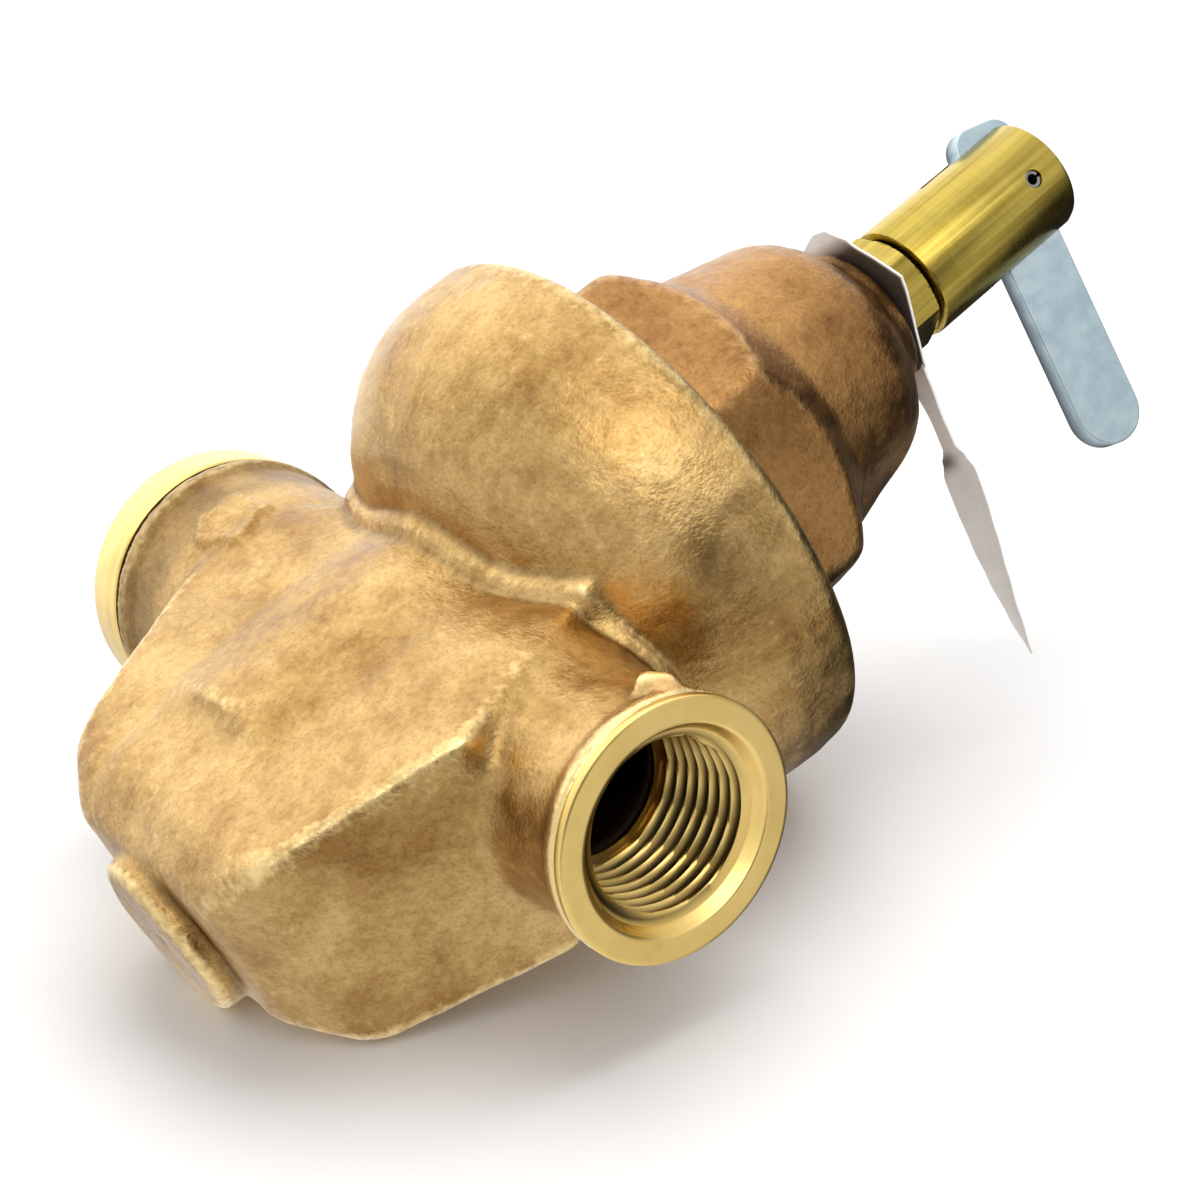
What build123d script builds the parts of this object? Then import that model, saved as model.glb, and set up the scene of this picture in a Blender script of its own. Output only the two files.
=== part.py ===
"""Half-inch bronze feed-water pressure valve with a fast-fill lever, built piece by piece.

Frame: the pipe runs along X (inlet at -X, outlet at +X), the stem stands along +Z, and
the origin is where the two centre lines cross.  All sizes are millimetres.
"""
from build123d import *
from math import cos, pi, radians, sin
import os

os.makedirs("parts", exist_ok=True)

# ---- driving dimensions --------------------------------------------------------------
# pipe ports, 1/2 in taper pipe thread
PORT_WALL_R = 9.15
PORT_MOUTH_R = 11.35
PORT_MOUTH_DEPTH = 1.9
PORT_WALL_LEN = 13.5
PORT_INNER_R = 8.0

# outlet boss
OUTLET_FACE_X = 48.8
OUTLET_RING_R = 14.3
OUTLET_RING_LEN = 2.4
OUTLET_NECK_R = 13.0

# inlet boss and the turned collar screwed into it
INLET_RIM_X = -46.3
INLET_BOSS_R = 17.0
INLET_RIM_R = 17.8
COLLAR_FACE_X = -54.5
COLLAR_R = 17.4
SPIGOT_R = 13.0
SPIGOT_END_X = -37.0
CHECK_BORE_R = 9.6
CHECK_START_X = -36.0
CHECK_END_X = -26.0

# bowl that holds the diaphragm
BOWL_R = 36.1
BOWL_BOTTOM_Z = 9.4
BOWL_WIDE_Z = 30.5
BOWL_TOP_Z = 35.6
BOWL_EDGE_R = 1.8
BOWL_MOUTH_R = 27.0
LEDGE_Z = 24.0
LEDGE_R = 22.0
WELL_TOP_R = 20.0
WELL_R = 13.0
NECK_R = 16.2
NECK_FROM_Z = -9.5
NECK_TO_Z = 13.0

# lower block: height, x from, x to, half depth, corner radius
BLOCK_SECTIONS = [
    (-38.2, -13.5, 17.5, 9.4, 6.0),
    (-36.2, -17.6, 22.4, 12.4, 6.0),
    (-32.6, -19.8, 25.6, 13.8, 5.0),
    (-9.5, -29.5, 34.6, 15.8, 5.0),
    (9.0, -24.0, 26.0, 13.0, 8.0),
]
PAD_R = 10.3
PAD_X = 1.5
PAD_Y = 1.8
PAD_BOTTOM_Z = -41.0
PAD_EDGE_R = 1.4
CHAMBER_R = 11.5
CHAMBER_FLOOR_Z = -34.0
WEB_BOTTOM_Z = -2.0
WEB_TOP_Z = 5.0
SEAT_THREAD_R = 9.4
PASSAGE_R = 7.0

# bonnet
HEX_ACROSS_FLATS = 45.6
SKIRT_R = 26.95
SKIRT_BOTTOM_Z = 26.4
FLANGE_R = 26.3
FLANGE_TOP_Z = 46.6
HEX_TOP_Z = 52.6
SPRING_ROOM_R = 13.8
SPRING_ROOM_TOP_Z = 67.4
BONNET_TOP_Z = 74.8
SCREW_BORE_R = 6.45

# adjusting screw, plunger and lever
SCREW_R = 6.35
SCREW_TIP_Z = 66.4
HEAD_R = 7.94
HEAD_BOTTOM_Z = 82.2
HEAD_TOP_Z = 107.8
SLOT_WIDTH = 3.4
SLOT_FLOOR_Z = 92.5
PLUNGER_R = 2.0
PLUNGER_BORE_R = 2.1
PIN_Z = 102.5
PIN_R = 1.19
PIN_LENGTH = 15.3
LEVER_THICKNESS = 3.0
LEVER_WIDTH = 9.4
LEVER_LONG_ARM = 35.5
LEVER_SHORT_ARM = 9.9
LEVER_DROOP = 14.4
LEVER_LIFT = 60.0
LEVER_HEADING = -28.5
CAM_START_R = 5.5
STROKE = 2.5
PLUNGER_GAP = 0.3

# lock nut and tag under it
NUT_ACROSS_FLATS = 14.29
NUT_BOTTOM_Z = 75.8
NUT_TOP_Z = 81.7
TAG_Z = 75.2
TAG_THICKNESS = 0.4

# diaphragm stack
DIAPHRAGM_THICKNESS = 1.4
DIAPHRAGM_R = 26.6
PLATE_R = 19.0
PLATE_THICKNESS = 2.0
WASHER_R = 16.0
WASHER_THICKNESS = 1.6
STEM_R = 2.5
STEM_TOP_Z = 32.8
SEAT_LIP_Z = -3.4

# springs
RANGE_SPRING_R = 10.4
RANGE_WIRE_R = 1.4
RANGE_TURNS = 7
RETURN_SPRING_R = 4.6
RETURN_WIRE_R = 0.45
CHECK_SPRING_R = 3.2
CHECK_WIRE_R = 0.3

# places that follow from the sizes above
DIAPHRAGM_TOP_Z = LEDGE_Z + DIAPHRAGM_THICKNESS
PLATE_TOP_Z = DIAPHRAGM_TOP_Z + PLATE_THICKNESS
BUTTON_BOTTOM_Z = 61.5
BUTTON_DISC_TOP_Z = 64.5
BUTTON_R = 12.5
HOLDER_BOTTOM_Z = -10.4
HOLDER_R = 7.2
PIN_PLANE = Plane(
    origin=(0, 0, PIN_Z),
    x_dir=(-sin(radians(LEVER_HEADING)), cos(radians(LEVER_HEADING)), 0),
    z_dir=(cos(radians(LEVER_HEADING)), sin(radians(LEVER_HEADING)), 0),
)


def along_x(x):
    """Plane square to the pipe at x, its normal pointing to +X."""
    return Plane(origin=(x, 0, 0), x_dir=(0, 1, 0), z_dir=(1, 0, 0))


def save(piece, name):
    """Label a finished piece and write it to its own file."""
    piece.label = name
    export_step(piece, "parts/" + name + ".step")


def helix_spring(radius, wire_r, bottom, top, turns, plane_x=None):
    """Round-wire coil along Z, or along X when plane_x gives the start of its axis."""
    height = top - bottom - 2 * wire_r
    pitch = height / turns
    with BuildPart() as coil:
        with BuildLine():
            path = Helix(pitch=pitch, height=height, radius=radius)
        with BuildSketch(Plane(origin=path @ 0, z_dir=path % 0)):
            Circle(wire_r)
        sweep(path=path, is_frenet=True)
    if plane_x is None:
        return coil.part.moved(Location((0, 0, bottom + wire_r)))
    return coil.part.moved(Location((plane_x + wire_r, 0, 0), (0, 90, 0)))


# ---- body casting --------------------------------------------------------------------
with BuildPart() as body:
    # lower block, flaring from the bottom up to the pipe line
    for low, high in zip(BLOCK_SECTIONS[:-1], BLOCK_SECTIONS[1:]):
        for z, x_from, x_to, half_depth, corner in (low, high):
            with BuildSketch(Plane.XY.offset(z)):
                with Locations(((x_from + x_to) / 2, 0)):
                    RectangleRounded(x_to - x_from, 2 * half_depth, corner)
        loft(ruled=True)
    # round pad under it
    with BuildSketch(Plane.XY.offset(PAD_BOTTOM_Z)):
        with Locations((PAD_X, PAD_Y)):
            Circle(PAD_R)
    extrude(amount=5.0)
    fillet(body.edges().group_by(Axis.Z)[0], PAD_EDGE_R)
    # pipe barrel with both bosses
    with BuildSketch(Plane.XZ):
        with BuildLine():
            Polyline(
                (INLET_RIM_X, 0),
                (INLET_RIM_X, INLET_RIM_R),
                (INLET_RIM_X + 2.6, INLET_RIM_R),
                (INLET_RIM_X + 3.2, INLET_BOSS_R),
                (-33.0, INLET_BOSS_R - 0.4),
                (-24.0, 15.4),
                (24.0, 15.4),
                (36.0, OUTLET_NECK_R),
                (OUTLET_FACE_X - OUTLET_RING_LEN - 2.0, OUTLET_NECK_R),
                (OUTLET_FACE_X - OUTLET_RING_LEN, OUTLET_RING_R),
                (OUTLET_FACE_X, OUTLET_RING_R),
                (OUTLET_FACE_X, 0),
                close=True,
            )
        make_face()
    revolve(axis=Axis.X)
    # round neck over the well, up into the bowl
    with BuildSketch(Plane.XY.offset(NECK_FROM_Z)):
        Circle(NECK_R)
    extrude(amount=NECK_TO_Z - NECK_FROM_Z)
    # bowl
    with BuildSketch(Plane.XZ):
        with BuildLine():
            Line((0, BOWL_BOTTOM_Z), (19.0, BOWL_BOTTOM_Z))
            ThreePointArc((19.0, BOWL_BOTTOM_Z), (31.2, 16.4), (BOWL_R, BOWL_WIDE_Z))
            Line((BOWL_R, BOWL_WIDE_Z), (BOWL_R, BOWL_TOP_Z - BOWL_EDGE_R))
            RadiusArc((BOWL_R, BOWL_TOP_Z - BOWL_EDGE_R), (BOWL_R - BOWL_EDGE_R, BOWL_TOP_Z), -BOWL_EDGE_R)
            Line((BOWL_R - BOWL_EDGE_R, BOWL_TOP_Z), (0, BOWL_TOP_Z))
            Line((0, BOWL_TOP_Z), (0, BOWL_BOTTOM_Z))
        make_face()
    revolve(axis=Axis.Z)
    # diaphragm room, well, web bore and lower chamber, all along the stem
    with BuildSketch(Plane.XZ):
        with BuildLine():
            Polyline(
                (0, BOWL_TOP_Z),
                (BOWL_MOUTH_R, BOWL_TOP_Z),
                (BOWL_MOUTH_R, LEDGE_Z),
                (LEDGE_R, LEDGE_Z),
                (LEDGE_R, 19.0),
                (WELL_TOP_R, 17.0),
                (WELL_R, 15.0),
                (WELL_R, WEB_TOP_Z),
                (SEAT_THREAD_R + 0.05, WEB_TOP_Z),
                (SEAT_THREAD_R + 0.05, WEB_BOTTOM_Z),
                (CHAMBER_R, WEB_BOTTOM_Z),
                (CHAMBER_R, CHAMBER_FLOOR_Z),
                (0, CHAMBER_FLOOR_Z),
                close=True,
            )
        make_face()
    revolve(axis=Axis.Z, mode=Mode.SUBTRACT)
    # outlet thread wall with its countersunk mouth
    with BuildSketch(Plane.XZ):
        with BuildLine():
            Polyline(
                (OUTLET_FACE_X, 0),
                (OUTLET_FACE_X, PORT_MOUTH_R),
                (OUTLET_FACE_X - PORT_MOUTH_DEPTH, PORT_WALL_R),
                (OUTLET_FACE_X - PORT_MOUTH_DEPTH - PORT_WALL_LEN, PORT_WALL_R),
                (OUTLET_FACE_X - PORT_MOUTH_DEPTH - PORT_WALL_LEN, PORT_INNER_R),
                (30.0, PASSAGE_R),
                (30.0, 0),
                close=True,
            )
        make_face()
    revolve(axis=Axis.X, mode=Mode.SUBTRACT)
    # inlet bore for the collar, then the check valve's bore
    with BuildSketch(Plane.XZ):
        with BuildLine():
            Polyline(
                (INLET_RIM_X, 0),
                (INLET_RIM_X, SPIGOT_R + 0.05),
                (CHECK_START_X, SPIGOT_R + 0.05),
                (CHECK_START_X, CHECK_BORE_R),
                (CHECK_END_X, CHECK_BORE_R),
                (CHECK_END_X, PASSAGE_R),
                (CHECK_END_X + 2.0, 0),
                close=True,
            )
        make_face()
    revolve(axis=Axis.X, mode=Mode.SUBTRACT)
    # sloping passages: well to outlet, inlet to lower chamber
    for start, end in (((3, 0, 18.9), (32, 0, 0)), ((-27, 0, 0), (-4, 0, -14))):
        run = Vector(end) - Vector(start)
        with BuildSketch(Plane(origin=start, z_dir=run)):
            Circle(PASSAGE_R)
        extrude(amount=run.length, mode=Mode.SUBTRACT)
save(body.part, "body")

# ---- bonnet --------------------------------------------------------------------------
with BuildPart() as bonnet:
    with BuildSketch(Plane.XY.offset(BOWL_TOP_Z)):
        RegularPolygon(HEX_ACROSS_FLATS / 2, 6, major_radius=False, rotation=19)
    extrude(amount=HEX_TOP_Z - BOWL_TOP_Z)
    fillet(bonnet.edges().filter_by(Axis.Z), 3.5)
    with BuildSketch(Plane.XZ):
        with BuildLine():
            Line((0, BOWL_TOP_Z), (FLANGE_R, BOWL_TOP_Z))
            Line((FLANGE_R, BOWL_TOP_Z), (FLANGE_R, FLANGE_TOP_Z))
            ThreePointArc((FLANGE_R, FLANGE_TOP_Z), (23.9, 49.2), (20.2, HEX_TOP_Z))
            Line((20.2, HEX_TOP_Z), (0, HEX_TOP_Z))
            Line((0, HEX_TOP_Z), (0, BOWL_TOP_Z))
        make_face()
    revolve(axis=Axis.Z, mode=Mode.INTERSECT)
    with BuildSketch(Plane.XZ):
        with BuildLine():
            Line((0, BOWL_TOP_Z), (20.8, BOWL_TOP_Z))
            Line((20.8, BOWL_TOP_Z), (20.6, 50.0))
            ThreePointArc((20.6, 50.0), (18.4, 59.4), (17.0, 65.4))
            ThreePointArc((17.0, 65.4), (15.0, 69.0), (11.6, 71.8))
            Line((11.6, 71.8), (10.4, 73.0))
            Line((10.4, 73.0), (10.0, BONNET_TOP_Z))
            Line((10.0, BONNET_TOP_Z), (0, BONNET_TOP_Z))
            Line((0, BONNET_TOP_Z), (0, BOWL_TOP_Z))
        make_face()
    revolve(axis=Axis.Z)
    # threaded skirt inside the bowl
    with BuildSketch(Plane.XY.offset(SKIRT_BOTTOM_Z)):
        Circle(SKIRT_R)
    extrude(amount=BOWL_TOP_Z - SKIRT_BOTTOM_Z)
    # spring room and screw bore
    with BuildSketch(Plane.XZ):
        with BuildLine():
            Polyline(
                (0, SKIRT_BOTTOM_Z),
                (PLATE_R + 2.4, SKIRT_BOTTOM_Z),
                (PLATE_R + 2.4, 31.4),
                (SPRING_ROOM_R + 0.6, 37.0),
                (SPRING_ROOM_R, 62.0),
                (SPRING_ROOM_R - 0.6, SPRING_ROOM_TOP_Z),
                (SCREW_BORE_R, SPRING_ROOM_TOP_Z),
                (SCREW_BORE_R, BONNET_TOP_Z),
                (0, BONNET_TOP_Z),
                close=True,
            )
        make_face()
    revolve(axis=Axis.Z, mode=Mode.SUBTRACT)
save(bonnet.part, "bonnet")

# ---- inlet collar, its gasket and the check valve --------------------------------------
with BuildPart() as inlet_collar:
    with BuildSketch(Plane.XZ):
        with BuildLine():
            Polyline(
                (COLLAR_FACE_X, PORT_MOUTH_R),
                (COLLAR_FACE_X, COLLAR_R - 1.2),
                (COLLAR_FACE_X + 1.2, COLLAR_R),
                (INLET_RIM_X, COLLAR_R),
                (INLET_RIM_X, SPIGOT_R),
                (SPIGOT_END_X, SPIGOT_R),
                (SPIGOT_END_X, PORT_INNER_R),
                (COLLAR_FACE_X + PORT_MOUTH_DEPTH + PORT_WALL_LEN, PORT_INNER_R),
                (COLLAR_FACE_X + PORT_MOUTH_DEPTH + PORT_WALL_LEN, PORT_WALL_R),
                (COLLAR_FACE_X + PORT_MOUTH_DEPTH, PORT_WALL_R),
                close=True,
            )
        make_face()
    revolve(axis=Axis.X)
save(inlet_collar.part, "inlet_collar")

with BuildPart() as collar_gasket:
    with BuildSketch(along_x(SPIGOT_END_X)):
        Circle(SPIGOT_R - 0.3)
        Circle(CHECK_BORE_R + 0.2, mode=Mode.SUBTRACT)
    extrude(amount=CHECK_START_X - SPIGOT_END_X)
save(collar_gasket.part, "collar_gasket")

CAGE_R = CHECK_BORE_R - 0.1
CAGE_PLATE = 1.2
with BuildPart() as check_cage:
    with BuildSketch(along_x(CHECK_START_X)):
        Circle(CAGE_R)
    extrude(amount=CHECK_END_X - CHECK_START_X)
    with BuildSketch(along_x(CHECK_START_X + CAGE_PLATE)):
        Circle(CAGE_R - 1.4)
    extrude(amount=CHECK_END_X - CHECK_START_X - 2 * CAGE_PLATE, mode=Mode.SUBTRACT)
    with BuildSketch(along_x(CHECK_START_X)):
        Circle(4.6)
    extrude(amount=CAGE_PLATE, mode=Mode.SUBTRACT)
    with BuildSketch(along_x(CHECK_END_X - CAGE_PLATE)):
        Circle(1.2)
        with PolarLocations(5.2, 6):
            Circle(1.7)
    extrude(amount=CAGE_PLATE, mode=Mode.SUBTRACT)
save(check_cage.part, "check_cage")

CHECK_DISC_X = CHECK_START_X + CAGE_PLATE + 0.1
CHECK_POPPET_X = CHECK_DISC_X + 1.0
with BuildPart() as check_disc:
    with BuildSketch(along_x(CHECK_DISC_X)):
        Circle(6.0)
    extrude(amount=CHECK_POPPET_X - CHECK_DISC_X)
save(check_disc.part, "check_disc")

with BuildPart() as check_poppet:
    with BuildSketch(along_x(CHECK_POPPET_X)):
        Circle(6.2)
    extrude(amount=1.2)
    with BuildSketch(along_x(CHECK_POPPET_X + 1.2)):
        Circle(1.1)
    extrude(amount=CHECK_END_X - CHECK_POPPET_X - 1.2)
save(check_poppet.part, "check_poppet")

check_spring = helix_spring(
    CHECK_SPRING_R,
    CHECK_WIRE_R,
    CHECK_POPPET_X + 1.25,
    CHECK_END_X - CAGE_PLATE - 0.05,
    4,
    plane_x=CHECK_POPPET_X + 1.25,
)
save(check_spring, "check_spring")

# ---- seat, strainer and return spring in the lower chamber ------------------------------
with BuildPart() as valve_seat:
    with BuildSketch(Plane.XZ):
        with BuildLine():
            Polyline(
                (4.5, SEAT_LIP_Z),
                (5.3, SEAT_LIP_Z),
                (6.6, WEB_BOTTOM_Z),
                (SEAT_THREAD_R, WEB_BOTTOM_Z),
                (SEAT_THREAD_R, WEB_TOP_Z + 0.6),
                (12.2, WEB_TOP_Z + 0.6),
                (12.2, WEB_TOP_Z + 2.6),
                (6.0, WEB_TOP_Z + 2.6),
                (4.5, WEB_TOP_Z + 1.1),
                close=True,
            )
        make_face()
    revolve(axis=Axis.Z)
    with BuildSketch(Plane.XY.offset(WEB_TOP_Z + 1.4)):
        with PolarLocations(12.2, 4):
            Rectangle(3.0, 3.0)
    extrude(amount=1.2, mode=Mode.SUBTRACT)
save(valve_seat.part, "valve_seat")

with BuildPart() as seat_gasket:
    with BuildSketch(Plane.XY.offset(WEB_TOP_Z)):
        Circle(12.0)
        Circle(SEAT_THREAD_R + 0.1, mode=Mode.SUBTRACT)
    extrude(amount=0.6)
save(seat_gasket.part, "seat_gasket")

with BuildPart() as strainer_screen:
    with BuildSketch(Plane.XY.offset(CHAMBER_FLOOR_Z)):
        Circle(CHAMBER_R - 0.3)
        Circle(CHAMBER_R - 0.8, mode=Mode.SUBTRACT)
    extrude(amount=WEB_BOTTOM_Z - CHAMBER_FLOOR_Z)
    for row in range(5):
        for column in range(5):
            heading = 36.0 * column + 18.0 * (row % 2)
            drill = Plane(
                origin=(0, 0, CHAMBER_FLOOR_Z + 6.0 + 5.0 * row),
                z_dir=(cos(radians(heading)), sin(radians(heading)), 0),
            )
            with BuildSketch(drill):
                Circle(1.4)
            extrude(amount=CHAMBER_R, both=True, mode=Mode.SUBTRACT)
save(strainer_screen.part, "strainer_screen")

return_spring = helix_spring(
    RETURN_SPRING_R, RETURN_WIRE_R, CHAMBER_FLOOR_Z + 0.05, HOLDER_BOTTOM_Z - 0.05, 8
)
save(return_spring, "return_spring")

# ---- stem with its disc, moved by the diaphragm -----------------------------------------
with BuildPart() as disc_holder:
    with BuildSketch(Plane.XY.offset(HOLDER_BOTTOM_Z)):
        Circle(HOLDER_R)
    extrude(amount=SEAT_LIP_Z - 0.8 - HOLDER_BOTTOM_Z)
    with BuildSketch(Plane.XY.offset(SEAT_LIP_Z - 2.6)):
        Circle(HOLDER_R - 0.8)
    extrude(amount=3.0, mode=Mode.SUBTRACT)
    with BuildSketch(Plane.XY.offset(HOLDER_BOTTOM_Z)):
        Circle(STEM_R + 0.05)
    extrude(amount=6.0, mode=Mode.SUBTRACT)
save(disc_holder.part, "disc_holder")

with BuildPart() as seat_disc:
    with BuildSketch(Plane.XY.offset(SEAT_LIP_Z - 2.6)):
        Circle(HOLDER_R - 0.85)
        Circle(STEM_R + 0.05, mode=Mode.SUBTRACT)
    extrude(amount=2.4)
save(seat_disc.part, "seat_disc")

with BuildPart() as stem:
    with BuildSketch(Plane.XY.offset(HOLDER_BOTTOM_Z - 3.2)):
        Circle(STEM_R)
    extrude(amount=STEM_TOP_Z - HOLDER_BOTTOM_Z + 3.2)
    # shoulder that clamps the disc, and the shoulder under the diaphragm
    with BuildSketch(Plane.XY.offset(SEAT_LIP_Z - 0.2)):
        Circle(STEM_R + 1.2)
    extrude(amount=1.6)
    with BuildSketch(Plane.XY.offset(LEDGE_Z - WASHER_THICKNESS - 3.0)):
        Circle(STEM_R + 2.0)
    extrude(amount=3.0)
    chamfer(stem.edges().group_by(Axis.Z)[-1], 0.5)
save(stem.part, "stem")

with BuildPart() as disc_nut:
    with BuildSketch(Plane.XY.offset(HOLDER_BOTTOM_Z - 2.6)):
        RegularPolygon(3.4, 6, major_radius=False)
        Circle(STEM_R + 0.03, mode=Mode.SUBTRACT)
    extrude(amount=2.6)
save(disc_nut.part, "disc_nut")

# ---- diaphragm stack --------------------------------------------------------------------
with BuildPart() as diaphragm:
    with BuildSketch(Plane.XY.offset(LEDGE_Z)):
        Circle(DIAPHRAGM_R)
        Circle(STEM_R + 0.05, mode=Mode.SUBTRACT)
    extrude(amount=DIAPHRAGM_THICKNESS)
save(diaphragm.part, "diaphragm")

with BuildPart() as slip_ring:
    with BuildSketch(Plane.XY.offset(DIAPHRAGM_TOP_Z)):
        Circle(DIAPHRAGM_R)
        Circle(PLATE_R + 2.4, mode=Mode.SUBTRACT)
    extrude(amount=SKIRT_BOTTOM_Z - DIAPHRAGM_TOP_Z)
save(slip_ring.part, "slip_ring")

with BuildPart() as diaphragm_washer:
    with BuildSketch(Plane.XY.offset(LEDGE_Z - WASHER_THICKNESS)):
        Circle(WASHER_R)
        Circle(STEM_R + 0.05, mode=Mode.SUBTRACT)
    extrude(amount=WASHER_THICKNESS)
    fillet(diaphragm_washer.edges().group_by(Axis.Z)[0].sort_by(SortBy.RADIUS)[-1], 0.8)
save(diaphragm_washer.part, "diaphragm_washer")

with BuildPart() as pressure_plate:
    with BuildSketch(Plane.XY.offset(DIAPHRAGM_TOP_Z)):
        Circle(PLATE_R)
        Circle(STEM_R + 0.05, mode=Mode.SUBTRACT)
    extrude(amount=PLATE_THICKNESS)
    # rim that centres the spring
    with BuildSketch(Plane.XY.offset(PLATE_TOP_Z)):
        Circle(RANGE_SPRING_R + RANGE_WIRE_R + 1.7)
        Circle(RANGE_SPRING_R + RANGE_WIRE_R + 0.4, mode=Mode.SUBTRACT)
    extrude(amount=1.6)
save(pressure_plate.part, "pressure_plate")

with BuildPart() as diaphragm_nut:
    with BuildSketch(Plane.XY.offset(PLATE_TOP_Z)):
        RegularPolygon(4.76, 6, major_radius=False)
        Circle(STEM_R + 0.03, mode=Mode.SUBTRACT)
    extrude(amount=3.6)
save(diaphragm_nut.part, "diaphragm_nut")

# ---- range spring and the button that the screw pushes ----------------------------------
range_spring = helix_spring(
    RANGE_SPRING_R, RANGE_WIRE_R, PLATE_TOP_Z + 0.05, BUTTON_BOTTOM_Z - 0.05, RANGE_TURNS
)
save(range_spring, "range_spring")

with BuildPart() as spring_button:
    with BuildSketch(Plane.XY.offset(BUTTON_BOTTOM_Z)):
        Circle(BUTTON_R)
    extrude(amount=BUTTON_DISC_TOP_Z - BUTTON_BOTTOM_Z)
    chamfer(spring_button.edges().group_by(Axis.Z)[-1], 0.8)
    with BuildSketch(Plane.XY.offset(BUTTON_DISC_TOP_Z)):
        Circle(5.0)
    extrude(amount=SCREW_TIP_Z - 0.1 - BUTTON_DISC_TOP_Z)
    # pilot that centres the coil
    with BuildSketch(Plane.XY.offset(BUTTON_BOTTOM_Z)):
        Circle(RANGE_SPRING_R - RANGE_WIRE_R - 0.4)
    extrude(amount=-2.4)
    with BuildSketch(Plane.XY.offset(BUTTON_BOTTOM_Z - 2.4)):
        Circle(PLUNGER_R + 0.3)
    extrude(amount=8.0, mode=Mode.SUBTRACT)
save(spring_button.part, "spring_button")

# ---- adjusting screw, plunger, lever and pin --------------------------------------------
with BuildPart() as adjusting_screw:
    with BuildSketch(Plane.XZ):
        with BuildLine():
            Polyline(
                (PLUNGER_BORE_R, SCREW_TIP_Z),
                (SCREW_R - 1.0, SCREW_TIP_Z),
                (SCREW_R, SCREW_TIP_Z + 1.0),
                (SCREW_R, HEAD_BOTTOM_Z - 1.6),
                (SCREW_R - 0.8, HEAD_BOTTOM_Z - 0.8),
                (SCREW_R - 0.8, HEAD_BOTTOM_Z),
                (HEAD_R - 0.6, HEAD_BOTTOM_Z),
                (HEAD_R, HEAD_BOTTOM_Z + 0.6),
                (HEAD_R, HEAD_TOP_Z - 0.8),
                (HEAD_R - 0.8, HEAD_TOP_Z),
                (PLUNGER_BORE_R, HEAD_TOP_Z),
                close=True,
            )
        make_face()
    revolve(axis=Axis.Z)
    # slot for the lever, open at the top
    with BuildSketch(PIN_PLANE):
        with Locations((0, (HEAD_TOP_Z + SLOT_FLOOR_Z) / 2 - PIN_Z + 1.0)):
            Rectangle(4 * HEAD_R, HEAD_TOP_Z - SLOT_FLOOR_Z + 2.0)
    extrude(amount=SLOT_WIDTH / 2, both=True, mode=Mode.SUBTRACT)
    with BuildSketch(PIN_PLANE):
        Circle(PIN_R + 0.03)
    extrude(amount=HEAD_R + 1.0, both=True, mode=Mode.SUBTRACT)
save(adjusting_screw.part, "adjusting_screw")

with BuildPart() as lever_pin:
    with BuildSketch(PIN_PLANE):
        Circle(PIN_R)
        Circle(PIN_R - 0.5, mode=Mode.SUBTRACT)
        with Locations((0, PIN_R - 0.3)):
            Rectangle(0.35, 1.0, mode=Mode.SUBTRACT)
    extrude(amount=PIN_LENGTH / 2, both=True)
save(lever_pin.part, "lever_pin")

with BuildPart() as plunger:
    with BuildSketch(Plane.XZ):
        with BuildLine():
            tip_z = PIN_Z - CAM_START_R - PLUNGER_GAP
            foot_z = STEM_TOP_Z + PLUNGER_GAP
            Line((0, foot_z), (PLUNGER_R - 0.3, foot_z))
            Line((PLUNGER_R - 0.3, foot_z), (PLUNGER_R, foot_z + 0.3))
            Line((PLUNGER_R, foot_z + 0.3), (PLUNGER_R, tip_z - PLUNGER_R))
            RadiusArc((PLUNGER_R, tip_z - PLUNGER_R), (0, tip_z), -PLUNGER_R)
            Line((0, tip_z), (0, foot_z))
        make_face()
    revolve(axis=Axis.Z)
save(plunger.part, "plunger")


def cam_point(lift):
    """Point of the cam edge that stands over the plunger when the lever is lifted so far."""
    reach = CAM_START_R + STROKE * lift / LEVER_LIFT
    swing = radians(lift - LEVER_DROOP)
    return (-reach * sin(swing), -reach * cos(swing))


lever_plane = Plane(
    origin=PIN_PLANE.origin,
    x_dir=PIN_PLANE.x_dir * cos(radians(LEVER_DROOP)) - Vector(0, 0, 1) * sin(radians(LEVER_DROOP)),
    z_dir=PIN_PLANE.z_dir,
)
half_width = LEVER_WIDTH / 2
end_centre = LEVER_LONG_ARM - half_width
with BuildPart() as lever:
    with BuildSketch(lever_plane):
        with BuildLine():
            cam = Spline([cam_point(LEVER_LIFT * step / 4) for step in range(5)])
            Line((3.4, -half_width), cam @ 0)
            Line(cam @ 1, (-7.4, -half_width))
            Line((-7.4, -half_width), (3.0 - LEVER_SHORT_ARM, -half_width))
            RadiusArc((3.0 - LEVER_SHORT_ARM, -half_width), (-LEVER_SHORT_ARM, 3.0 - half_width), 3.0)
            Line((-LEVER_SHORT_ARM, 3.0 - half_width), (-LEVER_SHORT_ARM, half_width - 3.0))
            RadiusArc((-LEVER_SHORT_ARM, half_width - 3.0), (3.0 - LEVER_SHORT_ARM, half_width), 3.0)
            Line((3.0 - LEVER_SHORT_ARM, half_width), (end_centre, half_width))
            ThreePointArc((end_centre, half_width), (LEVER_LONG_ARM, 0), (end_centre, -half_width))
            Line((end_centre, -half_width), (3.4, -half_width))
        make_face()
        Circle(PIN_R + 0.07, mode=Mode.SUBTRACT)
    extrude(amount=LEVER_THICKNESS / 2, both=True)
save(lever.part, "lever")

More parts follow.
